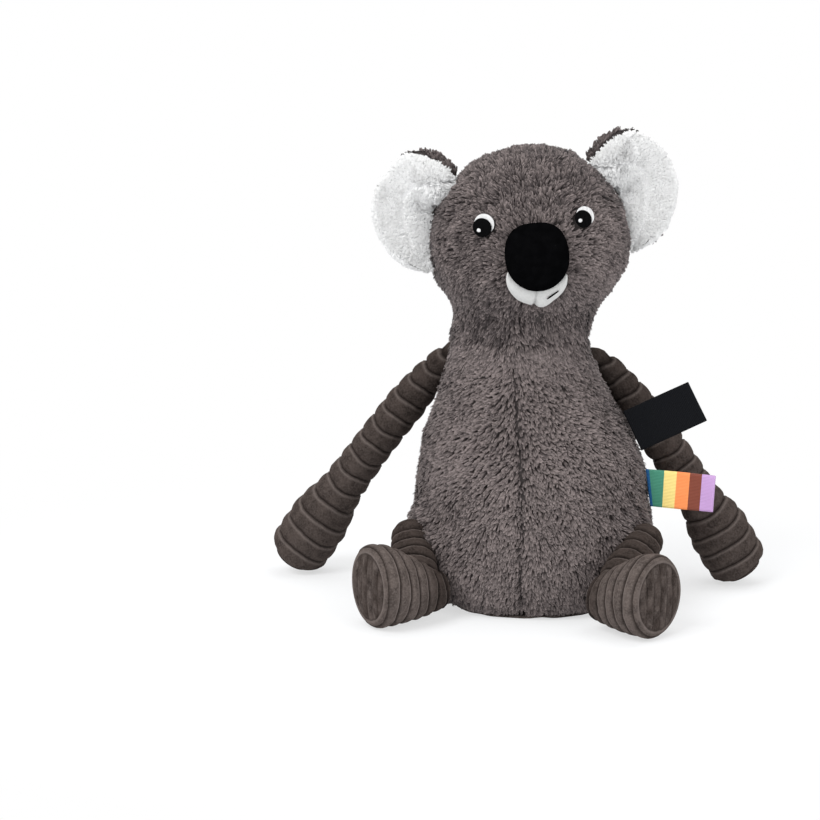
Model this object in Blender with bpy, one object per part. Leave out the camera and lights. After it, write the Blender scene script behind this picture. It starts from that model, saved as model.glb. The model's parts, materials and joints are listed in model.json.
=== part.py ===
"""A sitting plush koala: fur body and head, ribbed velour limbs, cupped ears and side tags.

Metres, +Z up. The toy faces -Y and sits on the floor plane Z = 0, with the origin at the
middle of its flat underside. Left and right are the viewer's, looking along +Y.
"""
import math

import bmesh
import bpy
from mathutils import Matrix, Vector
from mathutils.bvhtree import BVHTree

# Clearances
GAP = 0.0003
CLOTH_GAP = 0.0005

# Body: a pear-shaped fur bag on a flat base panel
NECK_HEIGHT = 0.182
BODY_HALF_WIDTH = 0.0825
BODY_FRONT_DEPTH = 0.067
BODY_BACK_DEPTH = 0.080
BODY_WALL = 0.004
BODY_LEAN = 0.008
BASE_THICKNESS = 0.002
BODY_POWER = 2.2
# Each row: height share, width share, front depth share, back depth share
BODY_SHARES = (
    (0.000, 0.640, 0.770, 0.680),
    (0.022, 0.770, 0.855, 0.785),
    (0.070, 0.890, 0.930, 0.880),
    (0.155, 0.965, 0.975, 0.955),
    (0.265, 1.000, 1.000, 1.000),
    (0.377, 0.960, 0.990, 1.000),
    (0.510, 0.928, 0.930, 0.955),
    (0.655, 0.840, 0.830, 0.850),
    (0.772, 0.710, 0.735, 0.735),
    (0.878, 0.622, 0.660, 0.650),
    (0.955, 0.582, 0.622, 0.590),
    (1.000, 0.570, 0.610, 0.5625),
)
LEAN_START_SHARE = 0.45
PELLET_LEVEL = 3

# Head: wide and round, rolled to the viewer's left and turned a little to the right
HEAD_ABOVE_NECK = 0.067
HEAD_CENTRE = Vector((-0.001, -0.006, NECK_HEIGHT + HEAD_ABOVE_NECK))
HEAD_HALF_WIDTH = 0.0665
HEAD_FRONT_DEPTH = 0.060
HEAD_BACK_DEPTH = 0.061
HEAD_ABOVE = 0.0615
HEAD_WALL = 0.004
HEAD_ROLL = math.radians(5.5)
HEAD_TURN = math.radians(10.0)
HEAD_POWER = 2.25
# Each row: height share from the neck to the crown, width, front depth and back depth shares
HEAD_SHARES = (
    (0.131, 0.760, 0.790, 0.780),
    (0.184, 0.826, 0.864, 0.828),
    (0.238, 0.885, 0.925, 0.870),
    (0.292, 0.930, 0.969, 0.913),
    (0.346, 0.965, 0.995, 0.950),
    (0.410, 0.990, 1.004, 0.980),
    (0.477, 1.000, 1.000, 1.000),
    (0.623, 0.970, 0.935, 0.985),
    (0.746, 0.860, 0.855, 0.910),
    (0.854, 0.690, 0.735, 0.770),
    (0.931, 0.510, 0.550, 0.575),
    (0.978, 0.290, 0.315, 0.325),
)
NECK_BLEND_SHARE = 0.346

# Face, in the head's own frame: X to the viewer's right, Z up, from the head's centre
NOSE_CENTRE_X = 0.001
NOSE_CENTRE_Z = -0.0065
NOSE_HALF_WIDTH = 0.0190
NOSE_HALF_HEIGHT = 0.0207
NOSE_BULGE = 0.013
NOSE_OUTLINE_SHARES = (
    (0.00, 1.00), (0.42, 0.98), (0.78, 0.78), (0.96, 0.42), (1.00, 0.02),
    (0.94, -0.36), (0.74, -0.68), (0.40, -0.92), (0.00, -1.00),
)
# Each row: outline share, bulge share
NOSE_DOME_SHARES = ((1.00, 0.42), (0.90, 0.72), (0.66, 0.92), (0.33, 0.99))
MOUTH_HALF_WIDTH = 0.0185
MOUTH_DROP = 0.0392
MOUTH_RISE = 0.0105
MOUTH_BULGE = 0.0050
MOUTH_SPACES = 12
STITCH_START = (0.0040, -0.0345)
STITCH_END = (0.0120, -0.0295)
STITCH_RADIUS = 0.0006
EYE_CENTRE_X = 0.001
EYE_SPREAD = 0.0313
EYE_HEIGHT = 0.0128
EYE_WHITE_RADIUS = 0.0072
EYE_PUPIL_RADIUS = 0.0060
EYE_GLINT_RADIUS = 0.0012
EYE_WHITE_OFFSET = (0.0014, 0.0026)
EYE_GLINT_OFFSET = (-0.0018, -0.0016)
EYE_THICKNESS = 0.0009
FACE_REACH = 0.150
FACE_SEAT = 0.0012
EYE_SEAT = 0.0005

# Ears: a cupped white pad on a fur back, with a lobe standing forward at the upper inner corner
EAR_REACH = 0.034
EAR_HEIGHT = 0.077
EAR_DROP = 0.016
EAR_SET_BACK = 0.008
EAR_PAD = 0.0055
EAR_BACK_WALL = 0.0035
EAR_CUP = 0.007
EAR_LOBE_RISE = 0.011
EAR_LOBE_RADIUS = 0.016
EAR_SEAT_GAP = 0.0006
EAR_LOBE_SHARES = (-0.20, 0.78)
EAR_MIDDLE_SHARES = (0.25, 0.52)
EAR_RING_SHARES = (0.35, 0.66, 0.88, 1.00)
# Each row: reach outward from the head's side, height above the ear's lowest point
EAR_LOW_SHARES = (
    (0.00, 0.10), (0.03, 0.00), (0.41, 0.05), (0.72, 0.17), (0.93, 0.36), (1.00, 0.545), (0.85, 0.77),
)
EAR_FRONT_TOP_SHARES = (
    (0.52, 0.935), (0.20, 1.00), (-0.12, 0.935), (-0.38, 0.845), (-0.58, 0.755), (-0.55, 0.65),
)
EAR_BACK_TOP_SHARES = (
    (0.54, 0.955), (0.22, 1.04), (-0.09, 1.04), (-0.41, 0.985), (-0.70, 0.86), (-0.70, 0.70),
)
EAR_ROOT_SHARES = ((-0.28, 0.585), (-0.12, 0.47), (-0.03, 0.27))
# The fur back's own edge, a little past the white pad all round
EAR_EDGE_LOW_SHARES = (
    (-0.02, 0.09), (0.01, -0.02), (0.42, 0.03), (0.75, 0.15), (0.96, 0.35), (1.03, 0.55), (0.88, 0.785),
)
EAR_EDGE_ROOT_SHARES = ((-0.34, 0.56), (-0.16, 0.455), (-0.06, 0.27))

# Arms: long ribbed tubes from the sides of the neck to the floor
SHOULDER_BELOW_NECK_LEFT = 0.0165
SHOULDER_BELOW_NECK_RIGHT = 0.0210
SHOULDER_SET_BACK = 0.026
SHOULDER_RADIUS = 0.0068
ARM_WALL = 0.0016
ARM_RIBS = 14
ARM_RIB_DEPTH = 0.0024
ARM_MIDDLE_RADIUS = 0.0142
ARM_WRIST_RADIUS = 0.0152
ARM_BOW = 0.0030
HAND_RADIUS = 0.0215
HAND_PAST_BODY_LEFT = 0.0855
HAND_PAST_BODY_RIGHT = 0.0505
HAND_BACK_LEFT = 0.066
HAND_BACK_RIGHT = 0.064
HAND_HEIGHT = 0.0225
HAND_END_SHARE = 0.80
HAND_END_POWER = 3.2
ARM_SWELL_SHARES = ((0.00, 0.0), (0.08, 0.35), (0.16, 0.66), (0.28, 1.0), (0.50, 1.0))
WRIST_SHARE = 0.70
HAND_START_SHARE = 0.90
SHOULDER_EDGE_SHARE = 0.80
SHOULDER_TURNS = (math.radians(35.0), math.radians(62.0), math.radians(90.0))
ARM_FIRST_RIB_SHARE = 0.60
ARM_FIRST_DEPTH_SHARE = 0.50
ARM_HOLLOW_SHARES = (0.0, 0.12, 0.35, 0.6, 0.72, 0.82, 0.92, 1.0)
# How far the last rib reaches over the hand's rounded end, and the small ring past it
HAND_LAST_RIB_SHARE = 0.86
HAND_CAP_SHARE = 0.97
HAND_CAP_RADIUS_SHARE = 0.72
HAND_HOLLOW_BACK_SHARE = 0.15
HAND_HOLLOW_RADIUS_SHARE = 0.55

# Legs: short ribbed tubes that end in drum-shaped feet with flat round soles
HIP_RADIUS = 0.0125
HIP_HEIGHT = 0.053
HIP_ANGLE_LEFT = math.radians(-66.0)
HIP_ANGLE_RIGHT = math.radians(68.0)
HEEL_INSIDE_BODY_LEFT = 0.0415
HEEL_INSIDE_BODY_RIGHT = 0.0265
HEEL_FORWARD_LEFT = 0.103
HEEL_FORWARD_RIGHT = 0.098
HEEL_HEIGHT = 0.030
LEG_WALL = 0.0020
LEG_RIBS = 8
LEG_RIB_DEPTH = 0.0016
HIP_TURNS = (math.radians(20.0), math.radians(42.0), math.radians(64.0), math.radians(85.0))
THIGH_RADIUS = 0.0165
THIGH_SHARE = 0.10
LEG_SWELL_SHARE = 0.60
LEG_FIRST_RIB_SHARE = 0.16
DRUM_SHARE = 0.16
LEG_DIP_SHARE = 0.24
# The hollow of the foot, past the bend. Each row: share of the leg, share of the full hollow there
LEG_HOLLOW_START_SHARE = 0.50
LEG_HOLLOW_SHARES = ((0.54, 0.45), (0.64, 0.75), (0.80, 0.95))
FOOT_RADIUS = 0.0278
SOLE_RADIUS = 0.0232
SOLE_THICKNESS = 0.0030
SOLE_RIM_SHARE = 0.20
SOLE_RIM_DEPTH_SHARE = 0.50
SOLE_SEAM_DEPTH_SHARE = 1.30
SOLE_CROWN_SHARE = 0.30
SOLE_CROWN_RADIUS_SHARE = 0.92
SOLE_PAST_BODY_LEFT = 0.0130
SOLE_PAST_BODY_RIGHT = 0.0080
SOLE_FORWARD_LEFT = 0.087
SOLE_FORWARD_RIGHT = 0.095
SOLE_FACING_LEFT = math.radians(-54.0)
SOLE_FACING_RIGHT = math.radians(58.0)

# Tags on the viewer's-right side seam
LABEL_LENGTH = 0.0486
LABEL_WIDTH = 0.0290
LABEL_HEIGHT = 0.1257
LABEL_TILT = math.radians(26.0)
RIBBON_LENGTH = 0.0450
RIBBON_WIDTH = 0.0250
RIBBON_HEIGHT = 0.0802
RIBBON_TILT = math.radians(-4.0)
TAG_PLY = 0.0005
TAG_SET_FORWARD = 0.004
TAG_OPENING = 0.0012
TAG_SEWN = 0.004
TAG_SEAT_GAP = 0.0008
TAG_SEAT_STEPS = 6

# How finely round forms are cut
BODY_SIDES = 32
ARM_SIDES = 14
LEG_SIDES = 20
FULL_TURN = 2.0 * math.pi
HALF_TURN = math.pi

COLOURS = {
    "fur": (0.150, 0.122, 0.114, 0.95),
    "velour": (0.098, 0.082, 0.072, 0.90),
    "white_plush": (0.78, 0.78, 0.77, 0.95),
    "nose_velvet": (0.004, 0.004, 0.005, 0.85),
    "mouth_cloth": (0.66, 0.66, 0.64, 0.90),
    "black_thread": (0.008, 0.008, 0.008, 0.55),
    "white_thread": (0.82, 0.82, 0.82, 0.50),
    "filling": (0.80, 0.79, 0.76, 0.98),
    "pellet_cloth": (0.55, 0.52, 0.47, 0.90),
    "label_weave": (0.008, 0.009, 0.010, 0.75),
    "ribbon_weave": (0.85, 0.45, 0.15, 0.60),
}


def clear_scene():
    """Remove whatever the file holds."""
    for item in list(bpy.data.objects):
        bpy.data.objects.remove(item)


def material(slot):
    """The Principled material of one finish."""
    if slot in bpy.data.materials:
        return bpy.data.materials[slot]
    red, green, blue, roughness = COLOURS[slot]
    made = bpy.data.materials.new(slot)
    made.use_nodes = True
    shader = made.node_tree.nodes["Principled BSDF"]
    shader.inputs["Base Color"].default_value = (red, green, blue, 1.0)
    shader.inputs["Roughness"].default_value = roughness
    shader.inputs["Metallic"].default_value = 0.0
    made.diffuse_color = (red, green, blue, 1.0)
    return made


def smooth_step(share):
    """Ease from 0 to 1, level at both ends."""
    share = max(0.0, min(1.0, share))
    return share * share * (3.0 - 2.0 * share)


def from_table(rows, share):
    """Read a table of (place share, value share) rows between its points."""
    for (low, low_value), (high, high_value) in zip(rows, rows[1:]):
        if share <= high:
            return low_value + (high_value - low_value) * (share - low) / (high - low)
    return rows[-1][1]


def signed_power(value, power):
    """A power that keeps the sign, for rounded-square rings."""
    return math.copysign(abs(value) ** power, value)


def oval_points(half_width, front, back, power):
    """One level ring with its own depth to the front and to the back."""
    points = []
    for side in range(BODY_SIDES):
        angle = FULL_TURN * side / BODY_SIDES
        across = signed_power(math.cos(angle), 2.0 / power)
        along = signed_power(math.sin(angle), 2.0 / power)
        points.append(Vector((half_width * across, (back if along > 0 else front) * along, 0)))
    return points


def loft_mesh(rings, start_tip=None, end_tip=None, looped=False):
    """A closed bmesh of triangles through rings of equal count, capped or joined end to end."""
    mesh = bmesh.new()
    loops = [[mesh.verts.new(point) for point in ring] for ring in rings]
    count = len(loops[0])
    pairs = list(zip(loops, loops[1:]))
    if looped:
        pairs.append((loops[-1], loops[0]))
    for low, high in pairs:
        for side in range(count):
            after = (side + 1) % count
            mesh.faces.new((low[side], low[after], high[after]))
            mesh.faces.new((low[side], high[after], high[side]))
    if not looped:
        for loop, tip in ((loops[0], start_tip), (loops[-1], end_tip)):
            close_end(mesh, loop, tip)
    bmesh.ops.recalc_face_normals(mesh, faces=mesh.faces[:])
    return mesh


def close_end(mesh, loop, tip):
    """Close one end with a flat face, or with a fan to a tip."""
    if tip is None:
        mesh.faces.new(loop)
        return
    point = mesh.verts.new(tip)
    for side, vertex in enumerate(loop):
        mesh.faces.new((vertex, loop[(side + 1) % len(loop)], point))


def add_piece(name, mesh, slot, pivot=None):
    """Make the object of one piece, with its origin on its joint if it has one."""
    data = bpy.data.meshes.new(name)
    pivot = pivot or Vector((0, 0, 0))
    mesh.transform(Matrix.Translation(-pivot))
    mesh.to_mesh(data)
    mesh.free()
    data.shade_smooth()
    data.set_sharp_from_angle(angle=math.radians(50.0))
    data.materials.append(material(slot))
    piece = bpy.data.objects.new(name, data)
    piece.location = pivot
    bpy.context.scene.collection.objects.link(piece)
    return piece


# Body


def base_top():
    """Height at which the fur skin starts, on the base panel."""
    return BASE_THICKNESS + GAP


def body_ring(row, wall=0.0, bottom=None, top=None):
    """One ring of the body, drawn in by a wall."""
    height_share, width, front, back = row
    low = base_top() if bottom is None else bottom
    high = NECK_HEIGHT - GAP / 2 if top is None else top
    draw_in = 1.0 - wall / BODY_HALF_WIDTH
    lean = smooth_step((height_share - LEAN_START_SHARE) / (1.0 - LEAN_START_SHARE))
    centre = Vector((-BODY_LEAN * lean, 0, low + (high - low) * height_share))
    ring = oval_points(BODY_HALF_WIDTH * width * draw_in, BODY_FRONT_DEPTH * front * draw_in,
                       BODY_BACK_DEPTH * back * draw_in, BODY_POWER)
    return [centre + point for point in ring]


def body_rings(wall=0.0):
    """All rings of the body from the base to the neck."""
    return [body_ring(row, wall) for row in BODY_SHARES]


def body_tree():
    """The body's outer surface, for seating what is sewn to it."""
    mesh = loft_mesh(body_rings())
    tree = BVHTree.FromBMesh(mesh)
    mesh.free()
    return tree


def make_body():
    """The fur skin, its base panel, the pellet bag low inside and the filling above it."""
    shell = loft_mesh(body_rings()[::-1] + body_rings(BODY_WALL), looped=True)
    add_piece("body_skin", shell, "fur")

    base = body_ring(BODY_SHARES[0], bottom=0, top=0)
    lifted = [point + Vector((0, 0, BASE_THICKNESS)) for point in base]
    add_piece("base_panel", loft_mesh([base, lifted]), "velour")

    packed = body_rings(BODY_WALL + CLOTH_GAP)
    add_piece("pellet_bag", loft_mesh(packed[:PELLET_LEVEL + 1]), "pellet_cloth")
    lowest = [point + Vector((0, 0, GAP)) for point in packed[PELLET_LEVEL]]
    add_piece("body_stuffing", loft_mesh([lowest] + packed[PELLET_LEVEL + 1:]), "filling")


# Head


def head_frame():
    """The head's own axes: rolled about its face, then turned about the vertical."""
    turn = Matrix.Rotation(HEAD_TURN, 3, "Z")
    roll = Matrix.Rotation(-HEAD_ROLL, 3, "Y")
    return turn @ roll


def neck_centre():
    """Middle of the sewn neck line, where the head turns."""
    return Vector((-BODY_LEAN, 0, NECK_HEIGHT))


def head_rings():
    """Rings of the head from the neck line up, eased from the body's line into the head's."""
    frame = head_frame()
    below = HEAD_CENTRE.z - NECK_HEIGHT
    neck = body_ring(BODY_SHARES[-1], top=NECK_HEIGHT + GAP / 2)
    rings = [neck]
    for height_share, width, front, back in HEAD_SHARES:
        level = Vector((0, 0, (below + HEAD_ABOVE) * height_share - below))
        ring = oval_points(HEAD_HALF_WIDTH * width, HEAD_FRONT_DEPTH * front,
                           HEAD_BACK_DEPTH * back, HEAD_POWER)
        blend = smooth_step(height_share / NECK_BLEND_SHARE)
        placed = [HEAD_CENTRE + frame @ (point + level) for point in ring]
        plain = [Vector((point.x, point.y, NECK_HEIGHT + GAP / 2 + below + level.z)) for point in neck]
        rings.append([low.lerp(high, blend) for low, high in zip(plain, placed)])
    return rings


def crown():
    """Highest point of the head's shape."""
    return HEAD_CENTRE + head_frame() @ Vector((0, 0, HEAD_ABOVE))


def drawn_in_head(wall):
    """The head's rings and crown, drawn in by a wall about the neck."""
    centre = neck_centre() + Vector((0, 0, GAP / 2))
    across = 1.0 - wall / HEAD_HALF_WIDTH
    upward = 1.0 - wall / (HEAD_CENTRE.z - NECK_HEIGHT + HEAD_ABOVE)
    shrink = Matrix.Diagonal((across, across, upward))
    rings = [[centre + shrink @ (point - centre) for point in ring] for ring in head_rings()]
    return rings, centre + shrink @ (crown() - centre)


def head_tree():
    """The head's outer surface, for seating what is sewn to it."""
    mesh = loft_mesh(head_rings(), end_tip=crown())
    tree = BVHTree.FromBMesh(mesh)
    mesh.free()
    return tree


def make_head():
    """The fur skin of the head, open at the neck, and its filling."""
    inner, inner_crown = drawn_in_head(HEAD_WALL)
    outer = head_rings()
    shell = loft_mesh(outer[::-1] + inner, start_tip=crown(), end_tip=inner_crown)
    add_piece("head_skin", shell, "fur", neck_centre())
    packed, packed_crown = drawn_in_head(HEAD_WALL + CLOTH_GAP)
    add_piece("head_stuffing", loft_mesh(packed, end_tip=packed_crown), "filling", neck_centre())


# Face


def on_face(tree, across, up, lift=0.0):
    """The point in front of the head at a place on the face, lifted off what is there."""
    frame = head_frame()
    start = HEAD_CENTRE + frame @ Vector((across, -FACE_REACH, up))
    hit = tree.ray_cast(start, frame @ Vector((0, 1, 0)))[0]
    return hit + (hit - HEAD_CENTRE).normalized() * lift


def mirrored_outline(half):
    """A closed outline from the shares of its viewer's-right half, top to bottom."""
    return list(half) + [(-across, up) for across, up in half[-2:0:-1]]


def nose_outline_place(across_share, up_share, grow=1.0):
    """A place on the nose's outline on the face."""
    return (NOSE_CENTRE_X + NOSE_HALF_WIDTH * across_share * grow,
            NOSE_CENTRE_Z + NOSE_HALF_HEIGHT * up_share * grow)


def make_nose(tree):
    """The padded velvet nose, a dome on the face."""
    outline = mirrored_outline(NOSE_OUTLINE_SHARES)
    seat_shares = (0.25, 0.5, 0.75, 1.0)
    rings = []
    for grow in seat_shares:
        places = [nose_outline_place(across, up, grow) for across, up in outline]
        rings.append([on_face(tree, across, up, FACE_SEAT) for across, up in places])
    for grow, rise in NOSE_DOME_SHARES:
        places = [nose_outline_place(across, up, grow) for across, up in outline]
        rings.append([on_face(tree, across, up, NOSE_BULGE * rise) for across, up in places])
    middle = (NOSE_CENTRE_X, NOSE_CENTRE_Z)
    seat = on_face(tree, *middle, FACE_SEAT)
    tip = on_face(tree, *middle, NOSE_BULGE)
    add_piece("nose_pad", loft_mesh(rings, start_tip=seat, end_tip=tip), "nose_velvet", neck_centre())


def nose_edge(turn):
    """The nose's lower edge at a turn from straight down, as a place on the face."""
    outline = [nose_outline_place(across, up) for across, up in mirrored_outline(NOSE_OUTLINE_SHARES)]
    direction = Vector((math.sin(turn), -math.cos(turn)))
    middle = Vector((NOSE_CENTRE_X, NOSE_CENTRE_Z))
    best = 0.0
    for start, end in zip(outline, outline[1:] + outline[:1]):
        first = Vector(start) - middle
        second = Vector(end) - middle
        cross_first = direction.cross(first)
        cross_second = direction.cross(second)
        if cross_first * cross_second > 0 or cross_first == cross_second:
            continue
        reach = first.lerp(second, cross_first / (cross_first - cross_second)).dot(direction)
        best = max(best, reach)
    return middle + direction * best, direction


def mouth_section(tree, turn, width):
    """One cross-section of the mouth patch, from the nose's edge outward."""
    edge, direction = nose_edge(turn)
    clear = GAP * 2
    spots = [(clear, FACE_SEAT), (clear, MOUTH_BULGE * 0.7), (width * 0.55, MOUTH_BULGE),
             (width * 0.92, MOUTH_BULGE * 0.6)]
    spots += [(width * share, FACE_SEAT) for share in (1.0, 0.75, 0.5, 0.25)]
    section = []
    for along, lift in spots:
        place = edge + direction * along
        section.append(on_face(tree, place.x, place.y, lift))
    return section


def make_mouth(tree):
    """The white crescent under the nose."""
    limit = math.atan2(MOUTH_HALF_WIDTH, MOUTH_RISE)
    thickness = MOUTH_DROP + NOSE_CENTRE_Z - NOSE_HALF_HEIGHT
    end_share = 0.22
    sections = []
    for space in range(MOUTH_SPACES + 1):
        place = 2.0 * space / MOUTH_SPACES - 1.0
        width = thickness * (end_share + (1.0 - end_share) * math.cos(place * HALF_TURN / 2) ** 0.8)
        sections.append(mouth_section(tree, limit * place, width))
    add_piece("mouth_patch", loft_mesh(sections), "mouth_cloth", neck_centre())


def object_tree(name):
    """The surface of a piece that is already made."""
    piece = bpy.data.objects[name]
    mesh = bmesh.new()
    mesh.from_mesh(piece.data)
    mesh.transform(Matrix.Translation(piece.location))
    tree = BVHTree.FromBMesh(mesh)
    mesh.free()
    return tree


def make_mouth_stitch():
    """The single black stitch that draws the mouth, laid on the patch."""
    tree = object_tree("mouth_patch")
    steps = 6
    sides = 6
    start = Vector(STITCH_START)
    end = Vector(STITCH_END)
    forward = head_frame() @ Vector((0, -1, 0))
    middles = []
    for step in range(steps + 1):
        place = start.lerp(end, step / steps)
        middles.append(on_face(tree, place.x, place.y, STITCH_RADIUS + GAP * 2))
    rings = []
    for step, middle in enumerate(middles):
        along = (middles[min(step + 1, steps)] - middles[max(step - 1, 0)]).normalized()
        across = along.cross(forward).normalized()
        swell = STITCH_RADIUS * (0.5 if step in (0, steps) else 1.0)
        ring = []
        for side in range(sides):
            angle = FULL_TURN * side / sides
            ring.append(middle + (across * math.cos(angle) + forward * math.sin(angle)) * swell)
        rings.append(ring)
    add_piece("mouth_stitch", loft_mesh(rings), "black_thread", neck_centre())


def face_disc(tree, centre, radius, lift, thickness, sides=20):
    """A thin round patch that follows the surface under it."""
    rings = []
    for grow, height in ((0.5, lift), (1.0, lift), (0.97, lift + thickness * 0.7), (0.6, lift + thickness)):
        ring = []
        for side in range(sides):
            angle = FULL_TURN * side / sides
            across = centre[0] + radius * grow * math.sin(angle)
            up = centre[1] + radius * grow * math.cos(angle)
            ring.append(on_face(tree, across, up, height))
        rings.append(ring)
    bottom = on_face(tree, *centre, lift)
    top = on_face(tree, *centre, lift + thickness)
    return loft_mesh(rings, start_tip=bottom, end_tip=top)


def make_eyes(tree):
    """Embroidered eyes: a white disc, a black pupil over it and a small white glint."""
    for side, name in ((-1, "left"), (1, "right")):
        pupil = (EYE_CENTRE_X + side * EYE_SPREAD, EYE_HEIGHT)
        white = (pupil[0] + EYE_WHITE_OFFSET[0], pupil[1] + EYE_WHITE_OFFSET[1])
        glint = (pupil[0] + EYE_GLINT_OFFSET[0], pupil[1] + EYE_GLINT_OFFSET[1])
        step = EYE_THICKNESS + GAP
        layers = (
            ("eye_white_" + name, white, EYE_WHITE_RADIUS, "white_thread"),
            ("eye_pupil_" + name, pupil, EYE_PUPIL_RADIUS, "black_thread"),
            ("eye_glint_" + name, glint, EYE_GLINT_RADIUS, "white_thread"),
        )
        for layer, (piece, centre, radius, slot) in enumerate(layers):
            lift = EYE_SEAT + step * layer
            mesh = face_disc(tree, centre, radius, lift, EYE_THICKNESS)
            add_piece(piece, mesh, slot, neck_centre())


# Ears


def ear_axes(side):
    """Outward, up and forward directions of an ear."""
    frame = head_frame()
    return frame @ Vector((side, 0, 0)), frame @ Vector((0, 0, 1)), frame @ Vector((0, -1, 0))


def ear_root(side):
    """Middle of the line where an ear is sewn to the side of the head."""
    outward, upward, forward = ear_axes(side)
    middle_height = EAR_HEIGHT / 2 - EAR_DROP
    behind = EAR_SET_BACK + EAR_BACK_WALL
    return HEAD_CENTRE + outward * HEAD_HALF_WIDTH + upward * middle_height - forward * behind


def ear_surface(side, across, up):
    """A point of the ear's middle surface: a cup with a lobe that stands forward near the head."""
    outward, upward, forward = ear_axes(side)
    middle_across = EAR_MIDDLE_SHARES[0] * EAR_REACH
    middle_up = EAR_MIDDLE_SHARES[1] * EAR_HEIGHT
    from_middle = math.hypot((across - middle_across) / EAR_REACH, (up - middle_up) / (EAR_HEIGHT / 2))
    cup = EAR_CUP * min(1.0, from_middle) ** 2
    lobe_across = (across - EAR_LOBE_SHARES[0] * EAR_REACH) / EAR_LOBE_RADIUS
    lobe_up = (up - EAR_LOBE_SHARES[1] * EAR_HEIGHT) / EAR_LOBE_RADIUS
    lobe = EAR_LOBE_RISE * math.exp(-lobe_across ** 2 - lobe_up ** 2)
    corner = HEAD_CENTRE + outward * HEAD_HALF_WIDTH - upward * EAR_DROP - forward * EAR_SET_BACK
    return corner + outward * across + upward * up + forward * (cup + lobe)


def ear_normal(side, across, up):
    """The forward normal of the ear's middle surface."""
    step = GAP
    along = ear_surface(side, across + step, up) - ear_surface(side, across - step, up)
    rise = ear_surface(side, across, up + step) - ear_surface(side, across, up - step)
    return along.cross(rise).normalized() * side


def head_cutter():
    """The head's outer shape, grown by the seat gap, which trims what is sewn against it."""
    centre = neck_centre() + Vector((0, 0, GAP / 2))
    across = 1.0 + EAR_SEAT_GAP / HEAD_HALF_WIDTH
    upward = 1.0 + EAR_SEAT_GAP / (HEAD_CENTRE.z - NECK_HEIGHT + HEAD_ABOVE)
    grow = Matrix.Diagonal((across, across, upward))
    rings = [[centre + grow @ (point - centre) for point in ring] for ring in head_rings()]
    cutter = add_piece("head_cutter", loft_mesh(rings, end_tip=centre + grow @ (crown() - centre)), "fur")
    cutter.hide_render = True
    cutter.display_type = "WIRE"
    return cutter


def trim(piece, cutter):
    """Cut a piece back where it would run into its neighbour."""
    cut = piece.modifiers.new("trim", "BOOLEAN")
    cut.operation = "DIFFERENCE"
    cut.object = cutter
    cut.use_self = True


def ear_place(row, grow):
    """A place on the flat ear, on an outline drawn in towards the ear's middle."""
    middle = (EAR_MIDDLE_SHARES[0] * EAR_REACH, EAR_MIDDLE_SHARES[1] * EAR_HEIGHT)
    across = middle[0] + (row[0] * EAR_REACH - middle[0]) * grow
    return across, middle[1] + (row[1] * EAR_HEIGHT - middle[1]) * grow


def ear_layer(side, near_lift, far_lift, rim_share, edge_outline=None):
    """One padded layer of an ear between two lifts off the middle surface."""
    near_rings, far_rings = [], []
    outline = EAR_LOW_SHARES + EAR_FRONT_TOP_SHARES + EAR_ROOT_SHARES
    levels = [(grow, outline) for grow in EAR_RING_SHARES]
    if edge_outline:
        levels.append((1.0, edge_outline))

    def lifted(across, up, lift):
        return ear_surface(side, across, up) + ear_normal(side, across, up) * lift

    for grow, rows in levels:
        thin = 1.0 - (1.0 - rim_share) * grow ** 3
        places = [ear_place(row, grow) for row in rows]
        near_rings.append([lifted(across, up, near_lift) for across, up in places])
        far = near_lift + (far_lift - near_lift) * thin
        far_rings.append([lifted(across, up, far) for across, up in places])
    middle = ear_place(outline[0], 0.0)
    return loft_mesh(near_rings + far_rings[::-1], start_tip=lifted(*middle, near_lift),
                     end_tip=lifted(*middle, far_lift))


def make_ears():
    """Both ears, each a white front pad on a fur back, sewn to the head's side."""
    cutter = head_cutter()
    for side, name in ((-1, "left"), (1, "right")):
        root = ear_root(side)
        front = ear_layer(side, GAP, EAR_PAD, 0.5)
        trim(add_piece("ear_front_" + name, front, "white_plush", root), cutter)
        edge = EAR_EDGE_LOW_SHARES + EAR_BACK_TOP_SHARES + EAR_EDGE_ROOT_SHARES
        back = ear_layer(side, -GAP, -EAR_BACK_WALL, 0.7, edge)
        trim(add_piece("ear_back_" + name, back, "fur", root), cutter)


# Limbs


def turned_rings(profile, sides, place, frame_at):
    """Rings of a turned profile of (distance, radius) rows along a centre line."""
    rings = []
    for distance, radius in profile:
        across, up = frame_at(distance)
        middle = place(distance)
        ring = []
        for side in range(sides):
            angle = FULL_TURN * side / sides
            ring.append(middle + (across * math.sin(angle) - up * math.cos(angle)) * radius)
        rings.append(ring)
    return rings


def seat_on_body(tree, start, inward, radius):
    """Centre of a round limb end that touches the body where a line meets it."""
    hit, normal = tree.ray_cast(start, inward)[:2]
    return hit + normal * (radius + GAP)


def shoulder(tree, side):
    """Centre of the rounded upper end of an arm."""
    below = SHOULDER_BELOW_NECK_RIGHT if side > 0 else SHOULDER_BELOW_NECK_LEFT
    start = Vector((side * FACE_REACH, SHOULDER_SET_BACK, NECK_HEIGHT - below))
    return seat_on_body(tree, start, Vector((-side, 0, 0)), SHOULDER_RADIUS)


def hand(side):
    """Middle of a hand that rests on the floor."""
    past = HAND_PAST_BODY_RIGHT if side > 0 else HAND_PAST_BODY_LEFT
    back = HAND_BACK_RIGHT if side > 0 else HAND_BACK_LEFT
    return Vector((side * (BODY_HALF_WIDTH + past), back, HAND_HEIGHT))


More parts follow.
